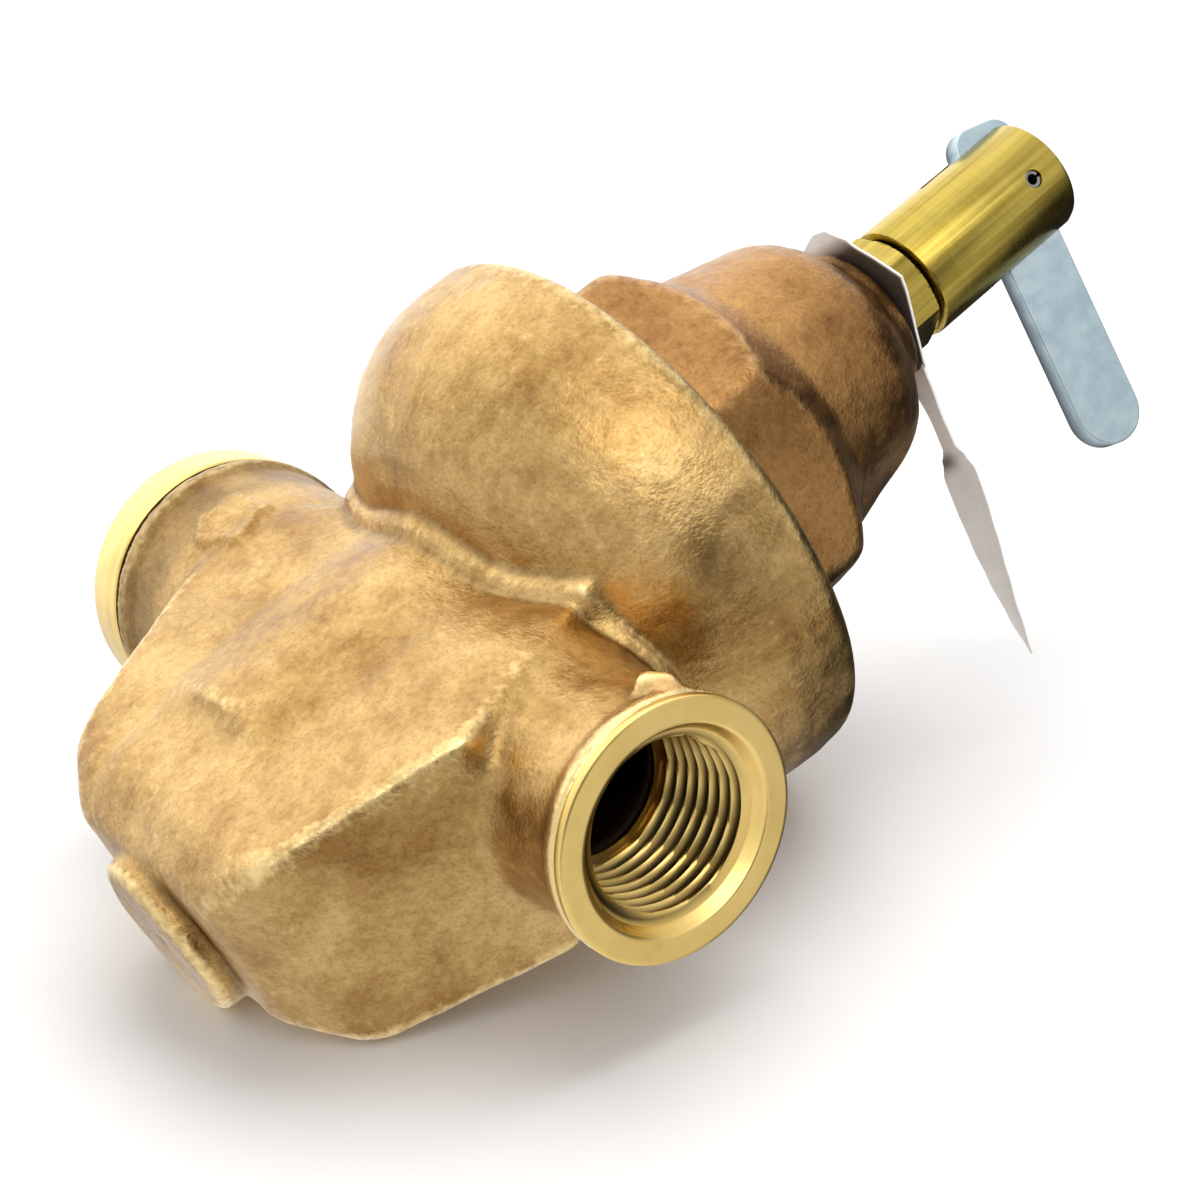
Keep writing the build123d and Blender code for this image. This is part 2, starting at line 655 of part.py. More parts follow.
# ---- lock nut and tag -------------------------------------------------------------------
with BuildPart() as lock_nut:
    with BuildSketch(Plane.XY.offset(NUT_BOTTOM_Z)):
        RegularPolygon(NUT_ACROSS_FLATS / 2, 6, major_radius=False, rotation=8)
    extrude(amount=NUT_TOP_Z - NUT_BOTTOM_Z)
    with BuildSketch(Plane.XZ):
        with BuildLine():
            nut_corner = NUT_ACROSS_FLATS / 2 / cos(pi / 6)
            Polyline(
                (0, NUT_BOTTOM_Z),
                (nut_corner - 0.9, NUT_BOTTOM_Z),
                (nut_corner, NUT_BOTTOM_Z + 0.5),
                (nut_corner, NUT_TOP_Z - 0.5),
                (nut_corner - 0.9, NUT_TOP_Z),
                (0, NUT_TOP_Z),
                close=True,
            )
        make_face()
    revolve(axis=Axis.Z, mode=Mode.INTERSECT)
    with BuildSketch(Plane.XY.offset(NUT_BOTTOM_Z)):
        Circle(SCREW_R + 0.06)
    extrude(amount=NUT_TOP_Z - NUT_BOTTOM_Z, mode=Mode.SUBTRACT)
save(lock_nut.part, "lock_nut")

# tag: a plate round the screw and a narrow tail bent down from it
TAIL_START = 9.6
TAIL_HALF_WIDTH = 2.6
TAIL_LENGTH = 37.0
TAIL_POINT = 12.0
TAIL_DROOP = 17.0
tag_plane = Plane(
    origin=(0, 0, TAG_Z),
    x_dir=(-sin(radians(LEVER_HEADING)), cos(radians(LEVER_HEADING)), 0),
    z_dir=(0, 0, 1),
)
tail_plane = Plane(
    origin=tag_plane.from_local_coords((TAIL_START, -2.2, 0)),
    x_dir=tag_plane.x_dir * cos(radians(TAIL_DROOP)) - Vector(0, 0, 1) * sin(radians(TAIL_DROOP)),
    z_dir=tag_plane.x_dir * sin(radians(TAIL_DROOP)) + Vector(0, 0, 1) * cos(radians(TAIL_DROOP)),
)
with BuildPart() as info_tag:
    with BuildSketch(tag_plane):
        with BuildLine():
            Polyline(
                (TAIL_START + 0.1, 0.4),
                (4.9, 8.3),
                (-1.9, 13.3),
                (-9.4, 9.6),
                (-11.8, 0.0),
                (-10.6, -7.6),
                (-6.0, -10.4),
                (2.0, -12.4),
                (TAIL_START + 0.1, -4.8),
                close=True,
            )
        make_face()
        Circle(SCREW_R + 0.25, mode=Mode.SUBTRACT)
    extrude(amount=TAG_THICKNESS)
    with BuildSketch(tail_plane):
        with BuildLine():
            Polyline(
                (0, -TAIL_HALF_WIDTH),
                (TAIL_LENGTH - TAIL_POINT, -TAIL_HALF_WIDTH),
                (TAIL_LENGTH, 0),
                (TAIL_LENGTH - TAIL_POINT, TAIL_HALF_WIDTH),
                (0, TAIL_HALF_WIDTH),
                close=True,
            )
        make_face()
    extrude(amount=TAG_THICKNESS)
save(info_tag.part, "info_tag")
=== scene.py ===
"""Looks of a half-inch bronze pressure reducing valve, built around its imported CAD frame.

Shapes are worked out in millimetres in the frame's own axes (pipe along X, stem along Z)
and turned into metres when a mesh is made.  The two castings are distance fields meshed on
a fine grid, because their soft blends, beads and dents can't be made from flat outlines.
"""

import math

import bmesh
import bpy
import numpy as np
from mathutils import Matrix, Vector


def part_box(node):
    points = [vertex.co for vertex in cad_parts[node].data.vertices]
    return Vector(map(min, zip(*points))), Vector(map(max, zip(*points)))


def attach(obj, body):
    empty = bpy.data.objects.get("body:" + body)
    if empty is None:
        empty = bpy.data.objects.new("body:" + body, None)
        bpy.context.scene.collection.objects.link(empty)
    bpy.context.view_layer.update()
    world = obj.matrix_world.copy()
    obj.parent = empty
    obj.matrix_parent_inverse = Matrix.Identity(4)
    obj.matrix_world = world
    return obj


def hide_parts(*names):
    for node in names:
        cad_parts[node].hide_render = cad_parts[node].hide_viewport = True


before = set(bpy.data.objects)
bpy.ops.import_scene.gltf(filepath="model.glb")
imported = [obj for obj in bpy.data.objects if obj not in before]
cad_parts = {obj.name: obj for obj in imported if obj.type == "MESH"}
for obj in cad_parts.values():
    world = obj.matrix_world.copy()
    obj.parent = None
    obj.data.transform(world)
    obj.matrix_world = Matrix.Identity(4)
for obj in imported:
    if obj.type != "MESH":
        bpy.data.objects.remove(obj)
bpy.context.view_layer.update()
MM = 0.001


def box_mm(node):
    """Lowest and highest corner of a CAD node, in millimetres."""
    low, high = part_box(node)
    return low / MM, high / MM


body_low, body_high = box_mm("body")
bonnet_low, bonnet_high = box_mm("bonnet")
collar_low, collar_high = box_mm("inlet_collar")
screw_low, screw_high = box_mm("adjusting_screw")
nut_low, nut_high = box_mm("lock_nut")
pin_low, pin_high = box_mm("lever_pin")

# ---- sizes, millimetres --------------------------------------------------------------
OUTLET_X = body_high.x
INLET_RIM_X = body_low.x
BOWL_TOP_Z = body_high.z
PAD_BOTTOM_Z = body_low.z
BOWL_R = body_high.y
BONNET_TOP_Z = bonnet_high.z
SKIRT_BOTTOM_Z = bonnet_low.z
COLLAR_X = collar_low.x
COLLAR_R = collar_high.y
SCREW_TIP_Z = screw_low.z
HEAD_TOP_Z = screw_high.z
HEAD_R = screw_high.y
NUT_BOTTOM_Z = nut_low.z
NUT_TOP_Z = nut_high.z
PIN_Z = (pin_low.z + pin_high.z) / 2
PIN_R = (pin_high.z - pin_low.z) / 2

PORT_PITCH = 25.4 / 14
PORT_CREST_R = 9.15
PORT_ROOT_R = 10.35
PORT_MOUTH_R = 11.35
PORT_DEPTH = 15.4
PORT_INNER_R = 8.0
OUTLET_RING_R = 14.3
FACE_THICKNESS = 1.2
INSERT_R = 11.1

WELL_R = 13.0
NECK_R = 16.2
SPIGOT_R = 13.05
CHECK_BORE_R = 9.6
CHAMBER_R = 11.5
CHAMBER_FLOOR_Z = -34.0
PASSAGE_R = 7.0

SCREW_R = 6.35
SCREW_PITCH = 1.27
HEAD_BOTTOM_Z = 82.2
SLOT_WIDTH = 3.4
SLOT_FLOOR_Z = 92.5
NUT_WIDTH = 14.29
HEX_WIDTH = 45.6
TAG_Z = BONNET_TOP_Z + 0.4
TAG_THICKNESS = 0.3
LEVER_HEADING = math.radians(-28.5)
LEVER_DROOP = math.radians(14.4)
LEVER_LIFT = math.radians(60)

GRID_STEP = 0.6
ROUND_STEPS = 160
# how far a quarter round of radius 1 cuts in from its corner, along each side
ROUND_OFF = 1 - math.sqrt(0.5)


# ---- outlines and fields -------------------------------------------------------------
def arc(start, through, end, steps=8):
    """Points of the circle arc from start through a middle point to end, without end."""
    (ax, ay), (bx, by), (cx, cy) = start, through, end
    d = 2 * (ax * (by - cy) + bx * (cy - ay) + cx * (ay - by))
    a2, b2, c2 = ax * ax + ay * ay, bx * bx + by * by, cx * cx + cy * cy
    ux = (a2 * (by - cy) + b2 * (cy - ay) + c2 * (ay - by)) / d
    uy = (a2 * (cx - bx) + b2 * (ax - cx) + c2 * (bx - ax)) / d
    radius = math.hypot(ax - ux, ay - uy)
    first = math.atan2(ay - uy, ax - ux)
    middle = (math.atan2(by - uy, bx - ux) - first) % (2 * math.pi)
    last = (math.atan2(cy - uy, cx - ux) - first) % (2 * math.pi)
    sweep = last if middle < last else last - 2 * math.pi
    angles = [first + sweep * i / steps for i in range(steps)]
    return [(ux + radius * math.cos(a), uy + radius * math.sin(a)) for a in angles]


def outline_field(u, v, outline):
    """Signed distance from (u, v) to a closed outline, negative inside."""
    u, v = np.broadcast_arrays(u, v)
    nearest = np.full(u.shape, 1e9, np.float32)
    inside = np.zeros(u.shape, bool)
    for (u0, v0), (u1, v1) in zip(outline, outline[1:] + outline[:1]):
        eu, ev = u1 - u0, v1 - v0
        wu, wv = u - u0, v - v0
        along = np.clip((wu * eu + wv * ev) / (eu * eu + ev * ev), 0, 1)
        nearest = np.minimum(nearest, (wu - eu * along) ** 2 + (wv - ev * along) ** 2)
        crosses = ((v0 <= v) != (v1 <= v)) & ((eu * wv > ev * wu) == (ev > 0))
        inside ^= crosses
    return np.where(inside, -1, 1) * np.sqrt(nearest)


def blend_min(a, b, width):
    """Union of two fields with a soft fillet."""
    mix = np.clip(0.5 + 0.5 * (b - a) / width, 0, 1)
    return b + (a - b) * mix - width * mix * (1 - mix)


def blend_max(a, b, width):
    """Intersection of two fields with a soft edge."""
    return -blend_min(-a, -b, width)


class Grid:
    """Sample points round a piece, with the fields that the castings are made of."""

    def __init__(self, low, high, step):
        self.step = step
        self.low = np.array(low, float) - 2 * step
        counts = np.ceil((np.array(high) + 2 * step - self.low) / step).astype(int) + 1
        axes = [self.low[i] + step * np.arange(counts[i]) for i in range(3)]
        self.x = axes[0].astype(np.float32)[:, None, None]
        self.y = axes[1].astype(np.float32)[None, :, None]
        self.z = axes[2].astype(np.float32)[None, None, :]

    def about_x(self, outline):
        """Solid turned about the pipe's axis; outline is (x, radius)."""
        radius = np.sqrt(self.y**2 + self.z**2)
        return outline_field(self.x, radius, outline)

    def about_z(self, outline, centre=(0, 0)):
        """Solid turned about an upright axis; outline is (radius, z)."""
        radius = np.sqrt((self.x - centre[0]) ** 2 + (self.y - centre[1]) ** 2)
        return outline_field(radius, self.z, outline)

    def rod(self, start, end, radius):
        """Straight rod with rounded ends."""
        start, end = np.array(start, float), np.array(end, float)
        run = end - start
        px, py, pz = self.x - start[0], self.y - start[1], self.z - start[2]
        along = np.clip((px * run[0] + py * run[1] + pz * run[2]) / run.dot(run), 0, 1)
        gap = (px - run[0] * along) ** 2 + (py - run[1] * along) ** 2 + (pz - run[2] * along) ** 2
        return np.sqrt(gap) - radius

    def half_space(self, normal, point):
        """Everything behind a plane."""
        n = np.array(normal, float)
        n /= np.linalg.norm(n)
        offset = float(n.dot(point))
        return self.x * n[0] + self.y * n[1] + self.z * n[2] - offset


def surface_of(field, grid):
    """Closed quad mesh on the zero level of a field: (vertices in mm, quads)."""
    nx, ny, nz = field.shape
    steps = [(i, j, k) for i in (0, 1) for j in (0, 1) for k in (0, 1)]
    corner = np.stack([field[i:nx - 1 + i, j:ny - 1 + j, k:nz - 1 + k] for i, j, k in steps])
    below = (corner < 0).sum(0)
    cells = np.argwhere((below > 0) & (below < 8))
    values = corner[:, cells[:, 0], cells[:, 1], cells[:, 2]].T
    total = np.zeros((len(cells), 3))
    count = np.zeros(len(cells))
    places = np.array(steps, float)
    for a in range(8):
        for b in range(a + 1, 8):
            if np.abs(places[a] - places[b]).sum() != 1:
                continue
            fa, fb = values[:, a], values[:, b]
            cut = (fa < 0) != (fb < 0)
            t = np.where(cut, fa / np.where(cut, fa - fb, 1), 0)
            total += np.where(cut[:, None], places[a] + t[:, None] * (places[b] - places[a]), 0)
            count += cut
    vertices = grid.low + grid.step * (cells + total / count[:, None])
    number = np.full((nx - 1, ny - 1, nz - 1), -1)
    number[tuple(cells.T)] = np.arange(len(cells))
    quads = []
    for axis in range(3):
        near = [slice(1, -1)] * 3
        near[axis] = slice(0, -1)
        far = list(near)
        far[axis] = slice(1, None)
        first, second = field[tuple(near)] < 0, field[tuple(far)] < 0
        for starts_inside in (True, False):
            place = np.argwhere((first != second) & (first == starts_inside))
            place += np.array([0 if i == axis else 1 for i in range(3)])
            b, c = [i for i in range(3) if i != axis]
            ring = []
            for db, dc in ((1, 1), (0, 1), (0, 0), (1, 0)):
                cell = place.copy()
                cell[:, b] -= db
                cell[:, c] -= dc
                ring.append(number[tuple(cell.T)])
            quad = np.stack(ring, 1)
            turn = starts_inside == (axis == 1)
            quads.append(quad[:, ::-1] if turn else quad)
    return vertices, np.concatenate(quads)


def value_noise(points, size, seed):
    """Smooth random values from -1 to 1 that change over about size millimetres."""
    place = np.asarray(points) / size + 1000.0
    cell = np.floor(place).astype(np.int64)
    part = place - cell
    part = part * part * (3 - 2 * part)
    total = np.zeros(len(place))
    for i in (0, 1):
        for j in (0, 1):
            for k in (0, 1):
                key = (cell[:, 0] + i) * 73856093 ^ (cell[:, 1] + j) * 19349663 ^ (cell[:, 2] + k) * 83492791
                key = (key ^ (seed * 2654435761)) & 0xFFFFFFFF
                key = (key ^ (key >> 15)) * 2246822519 & 0xFFFFFFFF
                key = (key ^ (key >> 13)) * 3266489917 & 0xFFFFFFFF
                value = ((key ^ (key >> 16)) & 0xFFFF) / 32767.5 - 1
                weight = (part[:, 0] if i else 1 - part[:, 0]) * (part[:, 1] if j else 1 - part[:, 1])
                total += value * weight * (part[:, 2] if k else 1 - part[:, 2])
    return total


# ---- meshes --------------------------------------------------------------------------
def add_mesh(name, vertices, faces):
    """New smooth-shaded object from points in millimetres."""
    mesh = bpy.data.meshes.new(name)
    points = np.asarray(vertices, float) * MM
    mesh.from_pydata(points.tolist(), [], [list(map(int, f)) for f in faces])
    mesh.update()
    mesh.shade_smooth()
    piece = bpy.data.objects.new(name, mesh)
    bpy.context.scene.collection.objects.link(piece)
    return piece


def fix_normals(piece):
    """Make all faces look outward."""
    mesh = bmesh.new()
    mesh.from_mesh(piece.data)
    bmesh.ops.recalc_face_normals(mesh, faces=mesh.faces)
    mesh.to_mesh(piece.data)
    mesh.free()
    return piece


def apply_modifiers(piece):
    """Turn a piece's modifiers into its mesh."""
    graph = bpy.context.evaluated_depsgraph_get()
    mesh = bpy.data.meshes.new_from_object(piece.evaluated_get(graph))
    piece.modifiers.clear()
    piece.data = mesh
    return piece


def vertex_normals(vertices, quads):
    """Area-weighted normals of a quad mesh."""
    a, b, c, d = (vertices[quads[:, i]] for i in range(4))
    face = np.cross(c - a, d - b)
    normals = np.zeros_like(vertices)
    for i in range(4):
        np.add.at(normals, quads[:, i], face)
    return normals / np.maximum(np.linalg.norm(normals, axis=1, keepdims=True), 1e-12)


def neighbour_mean(values, quads):
    """Mean of each vertex's neighbours along the quads' edges."""
    total = np.zeros_like(values)
    count = np.zeros(len(values))
    for i in range(4):
        a, b = quads[:, i], quads[:, (i + 1) % 4]
        np.add.at(total, a, values[b])
        np.add.at(total, b, values[a])
        np.add.at(count, a, 1)
        np.add.at(count, b, 1)
    return total / (count[:, None] if values.ndim == 2 else count)


def bend_of(vertices, quads, normals, step, passes):
    """How sharply the surface bends at each vertex: positive on edges, negative in hollows."""
    bend = ((vertices - neighbour_mean(vertices, quads)) * normals).sum(1) / step**2
    for _ in range(passes):
        bend = 0.4 * bend + 0.6 * neighbour_mean(bend, quads)
    return bend


def mark(piece, name, values):
    """Store one number for each vertex of a piece, for its material to read."""
    attribute = piece.data.attributes.new(name, "FLOAT", "POINT")
    attribute.data.foreach_set("value", np.asarray(values, np.float32))


def cast_mesh(name, field, grid, roughen, painted_shade):
    """Casting from a field.  roughen(points) gives how far each point stands out, in mm, and
    the last argument gives how much painted shade darkens each point: 1 where it is painted nearly black and
    0 where no shade is painted."""
    vertices, quads = surface_of(field, grid)
    for _ in range(2):
        vertices = 0.5 * vertices + 0.5 * neighbour_mean(vertices, quads)
    normals = vertex_normals(vertices, quads)
    bend = bend_of(vertices, quads, normals, grid.step, 2)
    vertices = vertices + normals * roughen(vertices)[:, None]
    bend += 0.3 * bend_of(vertices, quads, normals, grid.step, 3)
    piece = add_mesh(name, vertices, quads)
    mark(piece, "edge", bend)
    mark(piece, "painted_shade", painted_shade(vertices))
    return piece


def lathe(name, outline, radius_at, axis="Z", steps=ROUND_STEPS):
    """Turned piece; outline is (radius, height) along the axis, and radius_at may bend a radius."""
    angles = [2 * math.pi * i / steps for i in range(steps)]
    vertices, faces = [], []
    for row, (radius, height) in enumerate(outline):
        after = (row + 1) % len(outline)
        for i, angle in enumerate(angles):
            r = radius_at(radius, height, angle)
            side, up = r * math.cos(angle), r * math.sin(angle)
            vertices.append((side, up, height) if axis == "Z" else (height, side, up))
            j = (i + 1) % steps
            faces.append((row * steps + i, row * steps + j, after * steps + j, after * steps + i))
    piece = fix_normals(add_mesh(name, vertices, faces))
    piece.data.set_sharp_from_angle(angle=math.radians(38))
    return piece


def slab(name, under, over, wrap):
    """Thin closed plate between two grids of points; wrap joins each row's last point to its first."""
    rows, columns = len(under), len(under[0])
    layer = rows * columns
    faces = []

    def wall(a, b):
        faces.append((a, b, layer + b, layer + a))

    for j in range(columns if wrap else columns - 1):
        k = (j + 1) % columns
        for i in range(0, layer - columns, columns):
            faces.append((i + j, i + k, i + columns + k, i + columns + j))
            faces.append(tuple(layer + corner for corner in reversed(faces[-1])))
        wall(j, k)
        wall(layer - columns + j, layer - columns + k)
    if not wrap:
        for i in range(0, layer - columns, columns):
            wall(i, i + columns)
            wall(i + columns - 1, i + 2 * columns - 1)
    points = [point for grid in (under, over) for row in grid for point in row]
    piece = fix_normals(add_mesh(name, points, faces))
    piece.data.set_sharp_from_angle(angle=math.radians(40))
    return piece


def rounded(outline, radius, steps=3):
    """Closed outline with every corner rounded off by about radius."""
    points = []
    for before, here, after in zip(outline[-1:] + outline[:-1], outline, outline[1:] + outline[:1]):
        here_v, before_v, after_v = (np.array(p, float) for p in (here, before, after))
        in_run, out_run = before_v - here_v, after_v - here_v
        reach = min(radius, 0.45 * np.linalg.norm(in_run), 0.45 * np.linalg.norm(out_run))
        start = here_v + in_run / np.linalg.norm(in_run) * reach
        end = here_v + out_run / np.linalg.norm(out_run) * reach
        for i in range(steps + 1):
            t = i / steps
            points.append(tuple((1 - t) ** 2 * start + 2 * t * (1 - t) * here_v + t * t * end))
    return points


# ---- body casting --------------------------------------------------------------------
# lower block: height, x from, x to, half depth
BLOCK_SECTIONS = [
    (-38.2, -13.5, 17.5, 9.4),
    (-32.6, -19.8, 25.6, 13.8),
    (-9.5, -29.5, 34.6, 15.8),
    (14.0, -22.0, 24.0, 12.4),
]
BLOCK_EDGE = 1.5
CREASE_X = -11.5


def block_field(grid):
    """Tapered block: the planes through each pair of sections, with soft edges."""
    field = np.maximum(BLOCK_SECTIONS[0][0] - grid.z, grid.z - BLOCK_SECTIONS[-1][0])
    for (z0, west0, east0, deep0), (z1, west1, east1, deep1) in zip(BLOCK_SECTIONS, BLOCK_SECTIONS[1:]):
        rise = z1 - z0
        planes = (
            grid.half_space((rise, 0, east0 - east1), (east0, 0, z0)),
            grid.half_space((-rise, 0, west1 - west0), (west0, 0, z0)),
            grid.half_space((0, rise, deep0 - deep1), (0, deep0, z0)),
            grid.half_space((0, -rise, deep0 - deep1), (0, -deep0, z0)),
        )
        for plane in planes:
            field = blend_max(field, plane, BLOCK_EDGE)
    return field


def make_body():
    """Golden casting: block, pipe barrel, bowl, pad, bead under the bowl, and all its bores."""
    grid = Grid((INLET_RIM_X, -BOWL_R, PAD_BOTTOM_Z), (OUTLET_X, BOWL_R, BOWL_TOP_Z), GRID_STEP)
    face_x = OUTLET_X - FACE_THICKNESS + 0.1
    outlet_end = [
        (0, 0), (0, 14.0), (24, 15.2), (33, 13.4), (42, 12.9), (44.4, 13.1), (45.6, OUTLET_RING_R - 0.3),
        (46.4, OUTLET_RING_R), (face_x, OUTLET_RING_R), (face_x, 0),
    ]
    inlet_end = [
        (0, 0), (INLET_RIM_X, 0), (INLET_RIM_X, 17.6), (INLET_RIM_X + 2.4, 17.8), (INLET_RIM_X + 3.6, 17.0),
        (-33, 16.7), (-20, 15.6), (0, 14.0),
    ]
    bowl_edge = 2.0
    bowl = [(0, 9.8), (18, 9.8)] + arc((18, 9.8), (31.0, 16.6), (BOWL_R, 30.0))[1:]
    bowl += [(BOWL_R, 30.0)]
    cut_in = ROUND_OFF * bowl_edge
    bowl += arc((BOWL_R, BOWL_TOP_Z - bowl_edge), (BOWL_R - cut_in, BOWL_TOP_Z - cut_in),
                (BOWL_R - bowl_edge, BOWL_TOP_Z), 5)
    bowl += [(BOWL_R - bowl_edge, BOWL_TOP_Z), (0, BOWL_TOP_Z)]
    lower = block_field(grid)
    barrel = blend_min(grid.about_x(outlet_end), grid.about_x(inlet_end), 2.0)
    lower = blend_min(lower, barrel, 3.0)
    lower = blend_min(lower, grid.about_z([(0, -20), (NECK_R, -20), (NECK_R, 14), (0, 14)]), 5.0)
    pad = rounded([(0, PAD_BOTTOM_Z), (10.4, PAD_BOTTOM_Z), (10.8, -35), (0, -35)], 1.5)
    lower = blend_min(lower, grid.about_z(pad, (1.5, 1.8)), 0.7)
    lower = blend_min(lower, grid.rod((43.4, -12.0, 7.0), (44.6, -11.4, 8.0), 1.6), 1.2)
    top = grid.about_z(bowl)
    bead = np.sqrt(lower**2 + top**2) - 1.8
    outside = blend_min(blend_min(lower, top, 0.8), bead, 0.5)
    # shallow crease down both faces beside the inlet wing
    crease = np.exp(-(((grid.x - CREASE_X) / 1.5) ** 2)) * np.clip((8 - grid.z) / 8, 0, 1)
    outside = outside + 0.3 * crease * np.clip((np.abs(grid.y) - 9) / 4, 0, 1)
    # flat machined rim at the inlet
    outside = np.maximum(outside, INLET_RIM_X - grid.x)
    well = [
        (0, BOWL_TOP_Z + 5), (27.0, BOWL_TOP_Z + 5), (27.0, 24.0), (22.0, 24.0), (22.0, 19.0), (20.0, 17.0),
        (WELL_R, 15.0), (WELL_R, 5.0), (9.45, 5.0), (9.45, -2.0), (CHAMBER_R, -2.0),
        (CHAMBER_R, CHAMBER_FLOOR_Z), (0, CHAMBER_FLOOR_Z),
    ]
    outlet_bore = [
        (OUTLET_X + 5, 0), (OUTLET_X + 5, INSERT_R), (OUTLET_X - PORT_DEPTH, INSERT_R),
        (OUTLET_X - PORT_DEPTH, PORT_INNER_R), (30, PASSAGE_R), (30, 0),
    ]
    inlet_bore = [
        (INLET_RIM_X - 5, 0), (INLET_RIM_X - 5, SPIGOT_R), (-36, SPIGOT_R), (-36, CHECK_BORE_R),
        (-26, CHECK_BORE_R), (-26, PASSAGE_R), (-24, 0),
    ]
    hollows = [
        grid.about_z(well), grid.about_x(outlet_bore), grid.about_x(inlet_bore),
        grid.rod((3, 0, 18.9), (32, 0, 0), PASSAGE_R), grid.rod((-27, 0, 0), (-4, 0, -14), PASSAGE_R),
    ]
    inside = hollows[0]
    for hollow in hollows[1:]:
        inside = np.minimum(inside, hollow)
    shell = np.maximum(outside, -inside)

    def roughen(points):
        """Sand grain, dents and the raised patch on the inlet boss."""
        x, y, z = points.T
        machined = np.clip((OUTLET_X - 2.6 - x) / 2, 0, 1) * np.clip((x - INLET_RIM_X - 0.8) / 1.5, 0, 1)
        machined *= np.clip((BOWL_TOP_Z - 0.5 - z) / 1.5, 0, 1)
        waves = 0.20 * value_noise(points, 11.0, 1) + 0.09 * value_noise(points, 4.2, 2)
        waves += 0.055 * value_noise(points, 1.9, 3)
        patch = 1 - np.sqrt(((x + 31.4) / 5.2) ** 2 + ((z - 0.2) / 4.5) ** 2)
        patch += 0.30 * value_noise(points, 2.4, 4)
        raised = 0.75 * np.clip(patch / 0.12, 0, 1) * (y < -8)
        dish = 0.40 * np.clip(patch / 0.6, 0, 1) * (y < -8)
        return machined * (waves + raised - dish)

    def painted_shade(points):
        """Painted shade: 1 in the water passages, ragged spots on the rim behind the collar that are partly
        painted shadow and partly burnt metal, and painted shade over the inlet boss, deeper towards its end.
        """
        x, y, z = points.T
        passage = (np.hypot(y, z) < INSERT_R + 0.5) & (x < OUTLET_X - 2)
        rim = np.clip((INLET_RIM_X + 0.8 - x) / 0.6 + 0.8 * value_noise(points, 1.8, 5), 0, 0.9)
        boss = np.clip((-33 - x) / 5, 0, 1) * (0.34 + 0.16 * value_noise(points, 5.0, 6))
        return np.maximum(np.maximum(passage, rim), boss)

    return cast_mesh("body_casting", shell, grid, roughen, painted_shade)


# ---- bonnet casting ------------------------------------------------------------------
def make_bonnet():
    """Redder casting: hex flange, dome and the threaded skirt inside the bowl."""
    grid = Grid((-27.5, -27.5, SKIRT_BOTTOM_Z), (27.5, 27.5, BONNET_TOP_Z), GRID_STEP)
    dome = [(0, BOWL_TOP_Z - 1), (20.8, BOWL_TOP_Z - 1), (20.6, 50.0)]
    dome += arc((20.6, 50.0), (18.4, 59.4), (17.0, 65.4))[1:]
    dome += arc((17.0, 65.4), (15.0, 69.0), (11.4, 71.6), 6)
    dome += [(11.4, 71.6), (10.5, 72.8), (10.0, BONNET_TOP_Z), (0, BONNET_TOP_Z)]
    flange = [(0, BOWL_TOP_Z), (26.3, BOWL_TOP_Z)] + arc((26.3, 46.6), (23.9, 49.2), (20.2, 52.6))
    flange += [(20.2, 52.6), (0, 52.6)]
    hexagon = BOWL_TOP_Z - grid.z
    for side in range(6):
        heading = math.radians(49 + 60 * side)
        c, s = math.cos(heading), math.sin(heading)
        wall = grid.half_space((c, s, 0.02), (HEX_WIDTH / 2 * c, HEX_WIDTH / 2 * s, 44))
        hexagon = blend_max(hexagon, wall, 1.6)
    flange_field = blend_max(hexagon, grid.about_z(flange), 0.8)
    outside = blend_min(flange_field, grid.about_z(dome), 1.6)
    skirt = [(0, SKIRT_BOTTOM_Z), (26.9, SKIRT_BOTTOM_Z), (26.9, BOWL_TOP_Z + 0.1), (0, BOWL_TOP_Z + 0.1)]
    outside = np.minimum(outside, grid.about_z(skirt))
    room = [
        (0, SKIRT_BOTTOM_Z - 3), (21.4, SKIRT_BOTTOM_Z - 3), (21.4, 31.4), (14.4, 37.0), (13.8, 62.0),
        (13.2, 67.4), (6.45, 67.4), (6.45, BONNET_TOP_Z + 3), (0, BONNET_TOP_Z + 3),
    ]
    shell = np.maximum(outside, -grid.about_z(room))

    def roughen(points):
        """Coarser sand grain than the body's."""
        z = points[:, 2]
        cast = np.clip((z - BOWL_TOP_Z - 0.2) / 1.0, 0, 1) * np.clip((BONNET_TOP_Z - 0.6 - z) / 1.2, 0, 1)
        waves = 0.10 * value_noise(points, 9.0, 11) + 0.07 * value_noise(points, 3.6, 12)
        return cast * (waves + 0.07 * value_noise(points, 1.8, 13))

    def painted_shade(points):
        """Painted shade: 1 in the bore that the screw goes through."""
        return (np.hypot(points[:, 0], points[:, 1]) < SCREW_R + 0.45).astype(float)

    return cast_mesh("bonnet_casting", shell, grid, roughen, painted_shade)


